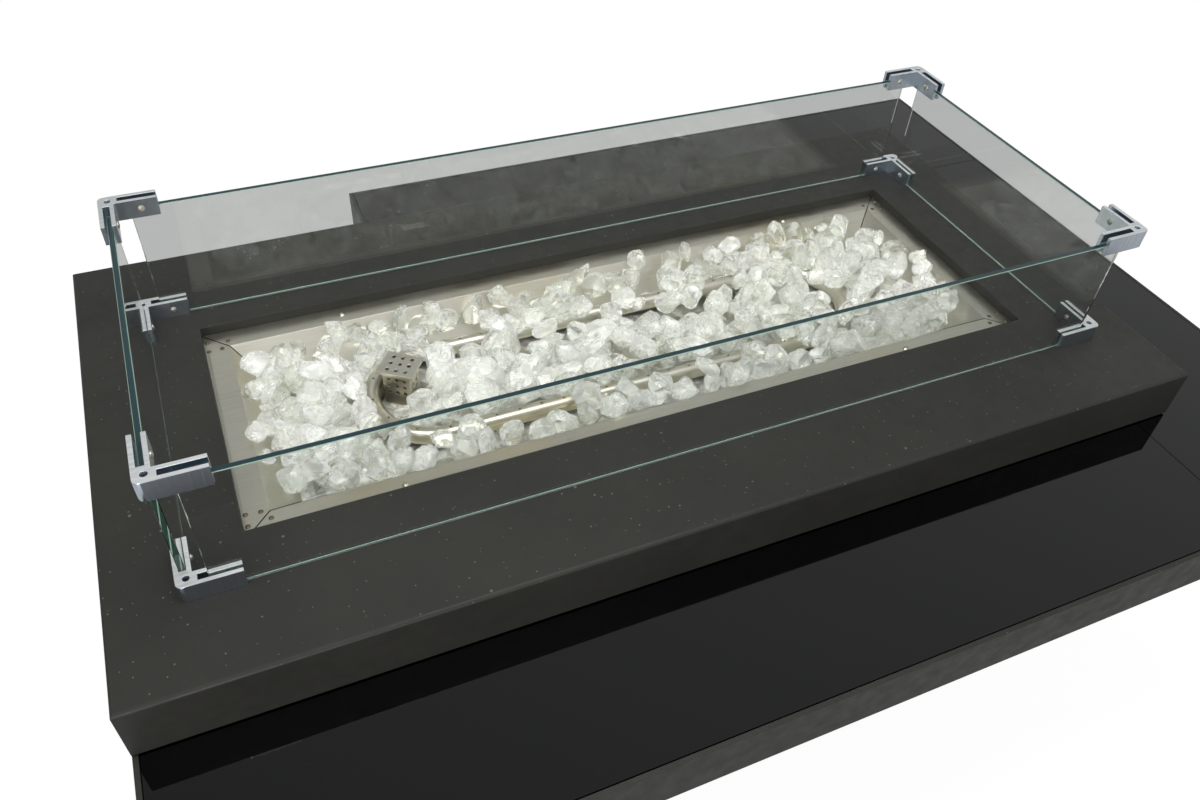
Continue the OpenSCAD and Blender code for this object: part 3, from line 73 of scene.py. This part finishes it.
def make_camera():
    """Camera at the photograph's angle, with the photograph's lens."""
    data = bpy.data.cameras.new("camera")
    data.sensor_width = SENSOR_W
    data.lens = FOCAL_PIXELS / IMAGE_W * SENSOR_W
    data.shift_x = (IMAGE_W / 2 - CENTRE_PIXEL[0]) / IMAGE_W
    data.shift_y = (CENTRE_PIXEL[1] - IMAGE_H / 2) / IMAGE_W
    data.clip_start = NEAR_CLIP
    camera = bpy.data.objects.new("camera", data)
    bpy.context.scene.collection.objects.link(camera)
    level = math.cos(CAMERA_ELEVATION)
    forward = Vector((math.sin(CAMERA_AZIMUTH) * level, math.cos(CAMERA_AZIMUTH) * level,
                      -math.sin(CAMERA_ELEVATION)))
    right = forward.cross(Vector((0, 0, 1))).normalized()
    right = Matrix.Rotation(-CAMERA_ROLL, 3, forward) @ right
    up = right.cross(forward)
    turn = Matrix((right, up, -forward)).transposed()
    camera.matrix_world = Matrix.Translation(CAMERA_PLACE) @ turn.to_4x4()
    bpy.context.scene.camera = camera


# Node helpers

class Graph:
    """A node tree under construction, with short ways to add and join nodes."""

    def __init__(self, tree):
        self.nodes = tree.nodes
        self.links = tree.links

    def join(self, source, target):
        self.links.new(source, target)

    def feed(self, target, value):
        """Sets an input to a colour or a number, or joins an output to it."""
        if isinstance(value, tuple):
            target.default_value = (*value, 1.0)
        elif isinstance(value, (int, float)):
            target.default_value = value
        else:
            self.join(value, target)

    def add(self, kind, **values):
        node = self.nodes.new("ShaderNode" + kind)
        for name, value in values.items():
            setattr(node, name, value)
        return node

    def axis(self, vector, name):
        """One part of a vector."""
        split = self.add("SeparateXYZ")
        self.join(vector, split.inputs[0])
        return split.outputs[name]

    def maths(self, operation, a, b=0.0, clamp=False):
        node = self.add("Math", operation=operation, use_clamp=clamp)
        self.feed(node.inputs[0], a)
        self.feed(node.inputs[1], b)
        return node.outputs[0]


class Shader(Graph):
    """A material with a Principled surface."""

    def __init__(self, name):
        self.material = bpy.data.materials.new(name)
        self.material.use_nodes = True
        super().__init__(self.material.node_tree)
        self.nodes.clear()
        self.output = self.add("OutputMaterial")
        self.surface = self.add("BsdfPrincipled")
        self.join(self.surface.outputs[0], self.output.inputs["Surface"])
        self.place = self.add("TexCoord").outputs["Object"]

    def set(self, **values):
        """Principled inputs by name, with underscores for spaces."""
        for name, value in values.items():
            self.feed(self.surface.inputs[name.replace("_", " ")], value)

    def stretched(self, scale):
        """Object coordinates, scaled by axis."""
        mapping = self.add("Mapping")
        mapping.inputs["Scale"].default_value = scale
        self.join(self.place, mapping.inputs["Vector"])
        return mapping.outputs["Vector"]

    def noise(self, scale, detail=2.0, place=None, roughness=0.5):
        node = self.add("TexNoise")
        node.inputs["Scale"].default_value = scale
        node.inputs["Detail"].default_value = detail
        node.inputs["Roughness"].default_value = roughness
        self.join(place or self.place, node.inputs["Vector"])
        return node.outputs["Fac"]

    def facing(self):
        return self.add("NewGeometry").outputs["Normal"]

    def dots(self, scale, radius, share):
        """One small round dot in a share of the cells of a loose grid, as a mask."""
        node = self.add("TexVoronoi")
        node.inputs["Scale"].default_value = scale
        self.join(self.place, node.inputs["Vector"])
        split = self.add("SeparateColor")
        self.join(node.outputs["Color"], split.inputs[0])
        picked = self.maths("LESS_THAN", split.outputs[0], share)
        sized = self.maths("MULTIPLY", split.outputs[1], radius * scale)
        return self.maths("MULTIPLY", picked, self.maths("LESS_THAN", node.outputs["Distance"], sized))

    def mitre_lines(self, middle_x, lead, half_width):
        """Mask of the four mitre lines of a box, lead being its half length less its half width."""
        along = self.maths("ABSOLUTE", self.maths("SUBTRACT", self.axis(self.place, "X"), middle_x))
        across = self.maths("ABSOLUTE", self.axis(self.place, "Y"))
        off = self.maths("ABSOLUTE", self.maths("SUBTRACT", self.maths("SUBTRACT", along, across), lead))
        return self.maths("LESS_THAN", off, half_width)

    def ramp(self, source, low, high, start=0.0, end=1.0):
        """Colours or greys from low to high as source goes from start to end."""
        node = self.add("ValToRGB")
        for element, at, value in zip(node.color_ramp.elements, (start, end), (low, high)):
            element.position = at
            element.color = (*value, 1.0) if isinstance(value, tuple) else (value, value, value, 1.0)
        self.join(source, node.inputs["Fac"])
        return node.outputs["Color"]

    def mix(self, factor, a, b):
        """Colour a where factor is 0 and b where it is 1."""
        node = self.add("Mix", data_type="RGBA")
        self.join(factor, node.inputs["Factor"])
        self.feed(node.inputs[6], a)
        self.feed(node.inputs[7], b)
        return node.outputs[2]

    def bump(self, height, strength, distance):
        node = self.add("Bump")
        node.inputs["Strength"].default_value = strength
        node.inputs["Distance"].default_value = distance
        self.join(height, node.inputs["Height"])
        self.join(node.outputs["Normal"], self.surface.inputs["Normal"])

    def colour(self, source):
        self.join(source, self.surface.inputs["Base Color"])

    def rough(self, source):
        self.join(source, self.surface.inputs["Roughness"])

    def give_way(self, factor, other):
        """Another shader takes the place of the surface as factor goes from 0 to 1."""
        mixed = self.add("MixShader")
        self.join(factor, mixed.inputs[0])
        self.join(self.surface.outputs[0], mixed.inputs[1])
        self.join(other.outputs[0], mixed.inputs[2])
        self.join(mixed.outputs[0], self.output.inputs["Surface"])


def tinted(colour, tint):
    """A colour times another, or times a plain number."""
    tints = tint if isinstance(tint, tuple) else (tint,) * 3
    return tuple(c * k for c, k in zip(colour, tints))


# Materials

POWDER = (0.028, 0.0275, 0.0235)
STEEL = (0.71, 0.69, 0.595)
STEEL_ROUGHNESS = (0.27, 0.4)
STEEL_GRAIN = (18.0, 420.0, 420.0)
STEEL_HEAT_TINT = (0.93, 0.87, 0.74)
# Painted shade: the dark colour of the crevices along the pan's mitre seams, where the folded sheets meet
SEAM_SHADE = (0.03, 0.028, 0.022)
# How much a face looks up, from 0 to 1: one that gathers dust, a pane's edge and its ground corner
DUSTY, ON_EDGE, ON_CORNER = 0.5, 0.9, 0.3

PANE_LOW, PANE_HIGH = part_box("guard_glass_front")
PANE_MIDDLE_Z = (PANE_LOW.z + PANE_HIGH.z) / 2
PAN_LOW, PAN_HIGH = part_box("burner_pan")
PAN_MIDDLE = (PAN_LOW + PAN_HIGH) / 2
PAN_HALF = (PAN_HIGH - PAN_LOW) / 2
SEAM_HALF = 0.9 * MM
PAN_MITRES = (PAN_MIDDLE.x, PAN_HALF.x - PAN_HALF.y, SEAM_HALF)


def powder_coat(name, colour):
    """Matt powder coat: a fine orange peel, faint clouding, and specks of pale dust where it faces up."""
    s = Shader(name)
    s.set(Roughness=0.5, Specular_IOR_Level=0.3)
    clouds = s.ramp(s.noise(9.0, 3.0), tinted(colour, 0.88), tinted(colour, 1.12), 0.3, 0.7)
    specks = s.maths("MAXIMUM", s.dots(70.0, 1.5 * MM, share=0.4), s.dots(200.0, 0.9 * MM, share=0.4))
    specks = s.maths("MULTIPLY", specks, s.maths("GREATER_THAN", s.axis(s.facing(), "Z"), DUSTY))
    s.colour(s.mix(specks, clouds, tinted(colour, 5.0)))
    s.rough(s.ramp(s.noise(60.0), 0.44, 0.58, 0.3, 0.7))
    s.bump(s.noise(900.0), strength=0.25, distance=0.4 * MM)
    return s.material


def brushed_steel(name, mitres=None):
    """Stainless sheet brushed along X, with smears, faint heat stains and, if asked, painted shade along
    its mitre seams.
    """
    s = Shader(name)
    s.set(Metallic=1.0)
    lines = s.noise(1.0, 4.0, s.stretched(STEEL_GRAIN), roughness=0.7)
    smears = s.noise(14.0, 3.0)
    stains = s.ramp(s.noise(5.0, 3.0), 0.0, 1.0, 0.52, 0.72)
    clean = s.ramp(lines, tinted(STEEL, 0.86), STEEL, 0.3, 0.75)
    aged = s.mix(stains, clean, tinted(STEEL, STEEL_HEAT_TINT))
    # The mitre lines carry painted shade, not a colour of the steel
    s.colour(s.mix(s.mitre_lines(*mitres), aged, SEAM_SHADE) if mitres else aged)
    s.rough(s.ramp(smears, *STEEL_ROUGHNESS, 0.3, 0.7))
    s.bump(lines, strength=0.12, distance=0.2 * MM)
    return s.material


def plain_metal(name, colour, rough, scale=220.0):
    """Small metal part with a slight mottle."""
    s = Shader(name)
    s.set(Metallic=1.0)
    mottle = s.noise(scale)
    s.colour(s.ramp(mottle, tinted(colour, 0.8), colour, 0.3, 0.7))
    s.rough(s.ramp(s.noise(scale / 4), rough * 0.8, rough * 1.3, 0.3, 0.7))
    s.bump(mottle, strength=0.08, distance=0.2 * MM)
    return s.material


def plain_plastic(name, colour, rough):
    """Moulded plastic or rubber with a fine grain."""
    s = Shader(name)
    s.set(Specular_IOR_Level=0.45)
    s.colour(s.ramp(s.noise(30.0), tinted(colour, 0.85), tinted(colour, 1.15), 0.3, 0.7))
    s.rough(s.ramp(s.noise(90.0), rough * 0.9, rough * 1.15, 0.3, 0.7))
    s.bump(s.noise(700.0), strength=0.15, distance=0.3 * MM)
    return s.material


def black_glass(name):
    """Polished black glass with faint dust and smears."""
    s = Shader(name)
    s.set(IOR=1.46, Specular_IOR_Level=0.62)
    dust = s.ramp(s.noise(700.0, 1.0), 0.0, 1.0, 0.76, 0.82)
    s.colour(s.mix(dust, (0.0003, 0.0004, 0.0005), (0.02, 0.021, 0.02)))
    s.rough(s.ramp(s.noise(7.0, 4.0), 0.02, 0.06, 0.35, 0.75))
    return s.material


def clip_metal(name):
    """Clear anodised extrusion: pale saw-cut ends above and below, sides with fine draw lines whose pale
    blue is a painted reflection of the light in front.
    """
    s = Shader(name)
    s.set(Metallic=1.0)
    sawn = s.ramp(s.maths("ABSOLUTE", s.axis(s.facing(), "Z")), 0.0, 1.0, 0.6, 0.8)
    lines = s.noise(1.0, 3.0, s.stretched((900.0, 900.0, 20.0)), roughness=0.6)
    # The sides' pale blue is a painted reflection of the light in front, laid over the real draw lines
    drawn_with_painted_reflection = s.ramp(lines, (0.50, 0.55, 0.63), (0.68, 0.74, 0.82), 0.3, 0.7)
    saw_marks = s.noise(1.0, 2.0, s.stretched((60.0, 700.0, 60.0)))
    cut = s.ramp(saw_marks, (0.72, 0.75, 0.76), (0.90, 0.93, 0.93), 0.3, 0.7)
    s.colour(s.mix(sawn, drawn_with_painted_reflection, cut))
    s.rough(s.ramp(sawn, 0.26, 0.5))
    s.bump(lines, strength=0.05, distance=0.1 * MM)
    return s.material


def let_light_through(s, tint):
    """Shadow rays pass glass and take its tint, so what stands behind it is lit."""
    clear = s.add("BsdfTransparent")
    s.feed(clear.inputs["Color"], tint)
    s.give_way(s.add("LightPath").outputs["Is Shadow Ray"], clear)


def pane_glass(name, tint, edge, low_edge_painted_light, ground):
    """Toughened pane: clear through its faces, blue green along its top edge, with ground corners.

    The lower edges lie on the dark top and show as pale green lines through the panes; their colour, set
    apart from the top edge's by height, is painted light that the glass carries down to them.
    """
    s = Shader(name)
    s.set(IOR=1.5)
    upright = s.maths("ABSOLUTE", s.axis(s.facing(), "Z"))
    on_edge = s.maths("GREATER_THAN", upright, ON_EDGE)
    on_corner = s.maths("SUBTRACT", s.maths("GREATER_THAN", upright, ON_CORNER), on_edge)
    low = s.maths("LESS_THAN", s.axis(s.place, "Z"), PANE_MIDDLE_Z)
    # Below the pane's middle height the edges take a painted-light colour of their own, and are less clear
    # than the top edge
    s.colour(s.mix(on_corner, s.mix(on_edge, tint, s.mix(low, edge, low_edge_painted_light)), ground))
    solid = s.maths("MULTIPLY", on_edge, s.ramp(low, 0.6, 0.8))
    clear = s.maths("SUBTRACT", 1.0, s.maths("MAXIMUM", on_corner, solid))
    s.join(clear, s.surface.inputs["Transmission Weight"])
    smears = s.ramp(s.noise(6.0, 4.0), 0.0, 0.02, 0.45, 0.8)
    s.rough(s.maths("ADD", smears, s.maths("MULTIPLY", on_corner, 0.5)))
    let_light_through(s, (0.93, 0.95, 0.93))
    return s.material


def broken_glass(name, colour):
    """Crushed clear glass: smooth glassy breaks, some chunks clear and some milky with cracks."""
    s = Shader(name)
    s.set(IOR=1.46)
    milky = s.ramp(s.add("NewGeometry").outputs["Random Per Island"], 0.02, 0.32)
    cracks = s.ramp(s.noise(55.0, 6.0, roughness=0.65), 0.0, 0.34, 0.48, 0.64)
    s.colour(s.ramp(s.noise(12.0), tinted(colour, (0.95, 0.96, 0.93)), colour, 0.35, 0.65))
    clear = s.maths("SUBTRACT", 1.0, s.maths("ADD", milky, cracks), clamp=True)
    s.join(clear, s.surface.inputs["Transmission Weight"])
    s.rough(s.ramp(s.noise(40.0, 3.0), 0.02, 0.16, 0.42, 0.7))
    s.bump(s.noise(62.0, 4.0, roughness=0.6), strength=0.3, distance=2 * MM)
    let_light_through(s, (0.95, 0.955, 0.94))
    return s.material


MATERIALS = {
    "painted_steel": powder_coat("powder_coat", POWDER),
    "black_glass": black_glass("black_glass"),
    "pan_steel": brushed_steel("pan_steel"),
    "mitred_steel": brushed_steel("mitred_steel", PAN_MITRES),
    "aged_rivets": plain_metal("aged_rivets", (0.22, 0.17, 0.11), 0.6, 500.0),
    "zinc_plate": plain_metal("zinc_plate", (0.56, 0.57, 0.6), 0.35),
    "aluminium": clip_metal("clip_aluminium"),
    "clear_glass": pane_glass("pane_glass", tint=(0.93, 0.955, 0.94), edge=(0.02, 0.06, 0.075),
                              low_edge_painted_light=(0.03, 0.065, 0.05), ground=(0.30, 0.42, 0.34)),
    "fire_glass": broken_glass("fire_glass", (0.985, 0.988, 0.97)),
    "rubber": plain_plastic("rubber", (0.025, 0.025, 0.025), 0.8),
    "black_plastic": plain_plastic("black_plastic", (0.02, 0.02, 0.02), 0.5),
    "gloss_button": plain_plastic("gloss_button", (0.02, 0.02, 0.02), 0.15),
    "black_screw": plain_plastic("black_screw", (0.02, 0.02, 0.02), 0.35),
    "brass": plain_metal("brass", (0.72, 0.55, 0.26), 0.3),
    "ceramic": plain_plastic("ceramic", (0.8, 0.78, 0.73), 0.3),
}
# Nodes that don't take the material of their slot in the record
NODE_MATERIALS = {"pan_rivets": "aged_rivets", "burner_pan": "mitred_steel"}


def dress_nodes():
    """Gives each CAD node its own material, or else that of its slot in the record."""
    for part in frame["record"]["subparts"]:
        slots = frame["nodes"][part["node"]].data.materials
        slots.clear()
        slots.append(MATERIALS[NODE_MATERIALS.get(part["node"], part["material_slot"])])


# Rounds on the edges of CAD nodes

ROUNDS = {
    "guard_clips_lower": 0.5 * MM,
    "guard_clips_upper": 0.5 * MM,
    "burner_top": 0.6 * MM,
    "tier_frame": 0.5 * MM,
    "burner_pan": 0.2 * MM,
    "pilot_cover": 0.4 * MM,
}
ROUND_SEGMENTS = 2
ROUND_ANGLE = math.radians(30.0)
WELD_REACH = 0.01 * MM


def soften(node, width):
    """Small rounds on a CAD node's edges, as a modifier."""
    thing = frame["nodes"][node]
    weld = thing.modifiers.new("weld", "WELD")
    weld.merge_threshold = WELD_REACH
    bevel = thing.modifiers.new("bevel", "BEVEL")
    bevel.width = width
    bevel.segments = ROUND_SEGMENTS
    bevel.limit_method = "ANGLE"
    bevel.angle_limit = ROUND_ANGLE
    bevel.harden_normals = True


# Panes of the wind guard

PANE_LIFT = 0.25 * MM
PANE_CHAMFER = 0.6 * MM


def new_piece(name, blank, material, *replaced):
    """A mesh piece from a bmesh, riding the body of the CAD nodes that it stands for."""
    mesh = bpy.data.meshes.new(name)
    blank.to_mesh(mesh)
    blank.free()
    mesh.materials.append(MATERIALS[material])
    thing = bpy.data.objects.new(name, mesh)
    bpy.context.scene.collection.objects.link(thing)
    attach(thing, "guard" if name.startswith("pane") else "table")
    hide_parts(*replaced)
    return mesh


def make_pane(side):
    """Toughened pane with ground edges, its foot a hair above the burner top so that it shows."""
    low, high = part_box("guard_glass_" + side)
    low.z += PANE_LIFT
    pane = bmesh.new()
    bmesh.ops.create_cube(pane, size=1.0)
    for vertex in pane.verts:
        vertex.co = Vector([a + (b - a) * (c + 0.5) for a, b, c in zip(low, high, vertex.co)])
    bmesh.ops.bevel(pane, geom=pane.edges[:], offset=PANE_CHAMFER, segments=1, affect="EDGES")
    new_piece("pane_" + side, pane, "clear_glass", "guard_glass_" + side)


# Broken glass: what it lies on, and how far the heap reaches

PAN_FLOOR = 560 * MM
PAN_FLOOR_HALF = Vector((385 * MM, 80.5 * MM))
PAN_RAKE = 0.92
TUBE_R = 9.5 * MM
TUBE_Z = 588 * MM
RUN_HALF = 235 * MM
RUN_Y = 66 * MM
COVER_MIDDLE = sum(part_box("pilot_cover"), Vector()) / 2
COVER_REACH = 22 * MM
# Half the width and the length of the ground before the cover, and how far above the cover's
# middle the chunks there may reach
COVER_VIEW = (1.4 * COVER_REACH, 3 * COVER_REACH)
COVER_SIGHT = 20 * MM
HEAP_TOP = 627 * MM
HEAP_HALF = (448 * MM, 127 * MM)
HEAP_SQUARENESS = 6
HEAP_SEED = 11
# Stretches of the two runs that no glass covers: side of the burner, start and end along it
BARE_RUNS = ((-1, -0.30, -0.112), (-1, -0.072, 0.105), (-1, 0.15, 0.168),
             (1, -0.21, -0.15), (1, -0.022, 0.012), (1, 0.055, 0.085), (1, 0.145, 0.16))

# Layers from the pan up; the last is of small chunks that only fill the hollows. Radii are in mm,
# and looseness is how far a chunk strays from its spot, as a share of the pitch.
Layer = namedtuple("Layer", "looseness pitch radii detail top")
LAYERS = (
    Layer(0.5, 30 * MM, (14, 17), 2, HEAP_TOP),
    Layer(0.7, 32 * MM, (14, 19), 3, HEAP_TOP),
    Layer(0.8, 34 * MM, (15, 22), 3, HEAP_TOP),
    Layer(0.9, 30 * MM, (12, 17), 3, HEAP_TOP),
    Layer(0.9, 27 * MM, (9, 13), 2, HEAP_TOP - 10 * MM),
)
SPOTS_REACH = (0.5, 0.36)
ROW_STEP = 0.87

# Shares of a chunk's radius: how high its middle lies over the pan and its top over its middle, how
# far out it counts beside the tube or cover, along a bare stretch and at the heap's outline, and
# how near the tube and other chunks come to its middle
SEAT, CREST = 0.8, 0.75
BESIDE, ALONG, AT_OUTLINE = 0.8, 0.5, 0.7
ON_TUBE, ON_CHUNK = 0.85, 0.72
CHUNK_SWELL = 1.15
CRISP_ANGLE = math.radians(22)

# Form of a chunk, for a blank of radius 1: how far it is stretched along each axis, how deep its
# flat breaks lie, how many hollow ones it may have, their radius and the reach of their middles
# past it, and the height and fineness of its lumps
STRETCHES = ((0.95, 1.3), (0.75, 1.05), (0.6, 0.95))
BREAKS, BREAK_DEPTHS = 13, (0.55, 0.92)
HOLLOW_COUNTS, HOLLOW_SIZES, HOLLOW_REACHES = (0, 1, 1, 2), (0.6, 1.1), (0.5, 0.7)
LUMPS = ((0.09, 2.4), (0.02, 7.0))
LUMP_SHIFT = 50


def from_tube(x, y):
    """Distance of a place in plan from the middle line of the burner's tube."""
    past_run = max(abs(x - PAN_MIDDLE.x) - RUN_HALF, 0.0)
    return abs(math.hypot(past_run, y) - RUN_Y)


def on_bare_tube(x, y, radius):
    """True for a chunk that would hide a stretch of tube that shows in the photograph."""
    along = x - PAN_MIDDLE.x
    near = from_tube(x, y) < TUBE_R + radius * BESIDE
    reach = radius * ALONG
    return near and any(y * side > 0 and start - reach < along < end + reach
                        for side, start, end in BARE_RUNS)


def hides_cover(x, y, z, radius):
    """True for a chunk in the pilot's cover, or before it and so tall that it hides more than its foot."""
    aside, before = abs(x - COVER_MIDDLE.x), COVER_MIDDLE.y - y
    if math.hypot(aside, before) < COVER_REACH + radius * BESIDE:
        return True
    ahead = aside < COVER_VIEW[0] and 0 < before < COVER_VIEW[1]
    return ahead and z + radius > COVER_MIDDLE.z + COVER_SIGHT


def in_corner(x, y, radius):
    """True past the heap's rounded outline, which leaves the pan's corners bare."""
    along = (abs(x - PAN_MIDDLE.x) + radius * AT_OUTLINE) / HEAP_HALF[0]
    across = (abs(y) + radius * AT_OUTLINE) / HEAP_HALF[1]
    return along ** HEAP_SQUARENESS + across ** HEAP_SQUARENESS > 1.0


def resting_height(x, y, radius, laid):
    """Height at which a chunk comes to rest on the pan, the tube or the chunks that are laid."""
    z = PAN_FLOOR + radius * SEAT
    for out, half in zip((abs(x - PAN_MIDDLE.x), abs(y)), PAN_FLOOR_HALF):
        z = max(z, PAN_FLOOR + (out - half) / PAN_RAKE + radius)
    supports = [(from_tube(x, y), TUBE_Z, TUBE_R + radius * ON_TUBE)]
    supports += [(math.hypot(px - x, py - y), pz, ON_CHUNK * (pr + radius)) for px, py, pz, pr in laid]
    for off, height, reach in supports:
        if off < reach:
            z = max(z, height + math.sqrt(reach * reach - off * off))
    return z


def spots(pitch):
    """Staggered grid over the whole pan, from its middle."""
    columns, rows = (int(reach / pitch) for reach in SPOTS_REACH)
    return [((i + 0.5 * (j % 2)) * pitch, j * pitch * ROW_STEP)
            for j in range(-rows, rows + 1) for i in range(-columns, columns + 1)]


def strayed(rng, layer):
    """A random step from a spot, along one axis."""
    return rng.uniform(-0.5, 0.5) * layer.looseness * layer.pitch


def heap_places(rng):
    """Places of the chunks, dropped layer by layer onto the pan, the tubes and each other."""
    laid = []
    for layer in LAYERS:
        places = spots(layer.pitch)
        rng.shuffle(places)
        for sx, sy in places:
            radius = rng.uniform(*layer.radii) * MM
            x = PAN_MIDDLE.x + sx + strayed(rng, layer)
            y = sy + strayed(rng, layer)
            z = resting_height(x, y, radius, laid)
            if z + radius * CREST > layer.top or on_bare_tube(x, y, radius):
                continue
            if hides_cover(x, y, z, radius) or in_corner(x, y, radius):
                continue
            laid.append((x, y, z, radius))
            yield x, y, z, radius, layer.detail


def any_way(rng):
    """A random direction."""
    return Vector([rng.gauss(0, 1) for _ in range(3)]).normalized()


def chunk_blank(rng, radius, detail):
    """One chunk: a round blank with flat breaks and up to two hollow ones."""
    blank = bmesh.new()
    bmesh.ops.create_icosphere(blank, subdivisions=detail, radius=1.0)
    stretch = Vector([rng.uniform(*span) for span in STRETCHES])
    breaks = [(any_way(rng), rng.uniform(*BREAK_DEPTHS)) for _ in range(BREAKS)]
    hollows = []
    for _ in range(rng.choice(HOLLOW_COUNTS)):
        way = any_way(rng)
        size = rng.uniform(*HOLLOW_SIZES)
        hollows.append((way * (size + rng.uniform(*HOLLOW_REACHES)), size))
    shift = Vector([rng.uniform(-LUMP_SHIFT, LUMP_SHIFT) for _ in range(3)])
    for vertex in blank.verts:
        p = vertex.co.copy()
        for way, depth in breaks:
            over = p.dot(way) - depth
            if over > 0:
                p -= way * over
        for centre, size in hollows:
            away = p - centre
            if away.length < size:
                p = centre + away.normalized() * size
        p += p.normalized() * sum(high * noise.noise(p * fine + shift) for high, fine in LUMPS)
        vertex.co = Vector([a * b for a, b in zip(p, stretch)]) * radius
    blank.transform(Matrix.Rotation(rng.uniform(0, math.tau), 4, any_way(rng)))
    return blank


def make_heap():
    """All the loose chunks as one mesh that stands for the CAD chunks."""
    rng = random.Random(HEAP_SEED)
    heap = bmesh.new()
    for x, y, z, radius, detail in heap_places(rng):
        chunk = chunk_blank(rng, radius * CHUNK_SWELL, detail)
        chunk.transform(Matrix.Translation((x, y, z)))
        mesh = bpy.data.meshes.new("chunk")
        chunk.to_mesh(mesh)
        chunk.free()
        heap.from_mesh(mesh)
        bpy.data.meshes.remove(mesh)
    mesh = new_piece("fire_glass_heap", heap, "fire_glass",
                     "fire_glass_middle", "fire_glass_edges", "fire_glass_ends")
    mesh.shade_smooth()
    mesh.set_sharp_from_angle(angle=CRISP_ANGLE)


# Floor and light

FLOOR_REACH = 9.0
FLOOR_UNDER_OBJECT = (0.22, 0.22, 0.215)
WHITE_TO_CAMERA = 1.1
GREY_IN_GLASS = 0.53
GLOW_SHARE = 0.85

WORLD_COLOUR = (0.985, 0.99, 0.99)
WORLD_LEAN = (0.25, 0.25)
WORLD_LEVEL = 0.28
WORLD_LEAST = 0.22
WORLD_FRONT = 0.72
WORLD_FRONT_RISE = 0.2


def make_floor():
    """Pale floor that shows white to the camera, grey in metal and through glass, and keeps shadows."""
    mesh = bpy.data.meshes.new("floor")
    corners = [(x * FLOOR_REACH, y * FLOOR_REACH, 0) for x, y in ((-1, -1), (1, -1), (1, 1), (-1, 1))]
    mesh.from_pydata(corners, [], [(0, 1, 2, 3)])
    floor = bpy.data.objects.new("floor", mesh)
    bpy.context.scene.collection.objects.link(floor)
    s = Shader("floor_paint")
    s.set(Roughness=0.9, Specular_IOR_Level=0.1)
    path = s.add("LightPath")
    white = s.ramp(s.noise(3.0), 0.80, 0.84, 0.3, 0.7)
    s.colour(s.mix(path.outputs["Is Diffuse Ray"], white, FLOOR_UNDER_OBJECT))
    in_glass = s.maths("MAXIMUM", path.outputs["Is Glossy Ray"], path.outputs["Is Transmission Ray"])
    to_camera = s.maths("MULTIPLY", path.outputs["Is Camera Ray"], WHITE_TO_CAMERA)
    glow = s.add("Emission")
    s.join(s.maths("ADD", to_camera, s.maths("MULTIPLY", in_glass, GREY_IN_GLASS)), glow.inputs["Strength"])
    seen = s.maths("MAXIMUM", path.outputs["Is Camera Ray"], in_glass)
    s.give_way(s.maths("MULTIPLY", seen, GLOW_SHARE), glow)
    mesh.materials.append(s.material)


def make_world():
    """Even grey studio, lighter behind, on the right and high in front, and white to the camera."""
    world = bpy.data.worlds.new("studio")
    bpy.context.scene.world = world
    world.use_nodes = True
    g = Graph(world.node_tree)
    background = g.nodes["Background"]
    way = g.add("TexCoord").outputs["Generated"]
    x, y, z = (g.axis(way, name) for name in "XYZ")
    lean = g.maths("ADD", g.maths("MULTIPLY", x, WORLD_LEAN[0]), g.maths("MULTIPLY", y, WORLD_LEAN[1]))
    behind = g.maths("MAXIMUM", g.maths("ADD", lean, WORLD_LEVEL), WORLD_LEAST)
    raised = g.maths("ADD", z, WORLD_FRONT_RISE)
    in_front = g.maths("MAXIMUM", g.maths("MULTIPLY", g.maths("MULTIPLY", y, raised), -WORLD_FRONT), 0.0)
    seen = g.add("LightPath").outputs["Is Camera Ray"]
    level = g.maths("MAXIMUM", g.maths("ADD", behind, in_front), seen)
    g.join(level, background.inputs["Strength"])
    g.feed(background.inputs["Color"], WORLD_COLOUR)


def area_light(name, place, aim, size, power):
    data = bpy.data.lights.new(name, "AREA")
    data.shape = "RECTANGLE"
    data.size, data.size_y = size
    data.energy = power
    light = bpy.data.objects.new(name, data)
    bpy.context.scene.collection.objects.link(light)
    light.location = place
    light.rotation_euler = (Vector(aim) - Vector(place)).to_track_quat("-Z", "Y").to_euler()


def make_light():
    """A soft box overhead, small enough to stay out of the black glass, and a low one for upright faces."""
    area_light("overhead", place=(-0.3, -0.35, 2.9), aim=(-0.3, 0.0, 0.6), size=(1.8, 0.9), power=32.0)
    area_light("front", place=(-1.7, -2.2, 0.9), aim=(-0.1, -0.45, 0.56), size=(1.2, 0.4), power=26.0)


# Build

make_camera()
dress_nodes()
for softened, round_radius in ROUNDS.items():
    soften(softened, round_radius)
for side in ("front", "back", "left", "right"):
    make_pane(side)
make_heap()
make_floor()
make_world()
make_light()

scene = bpy.context.scene
scene.view_settings.view_transform = "Standard"
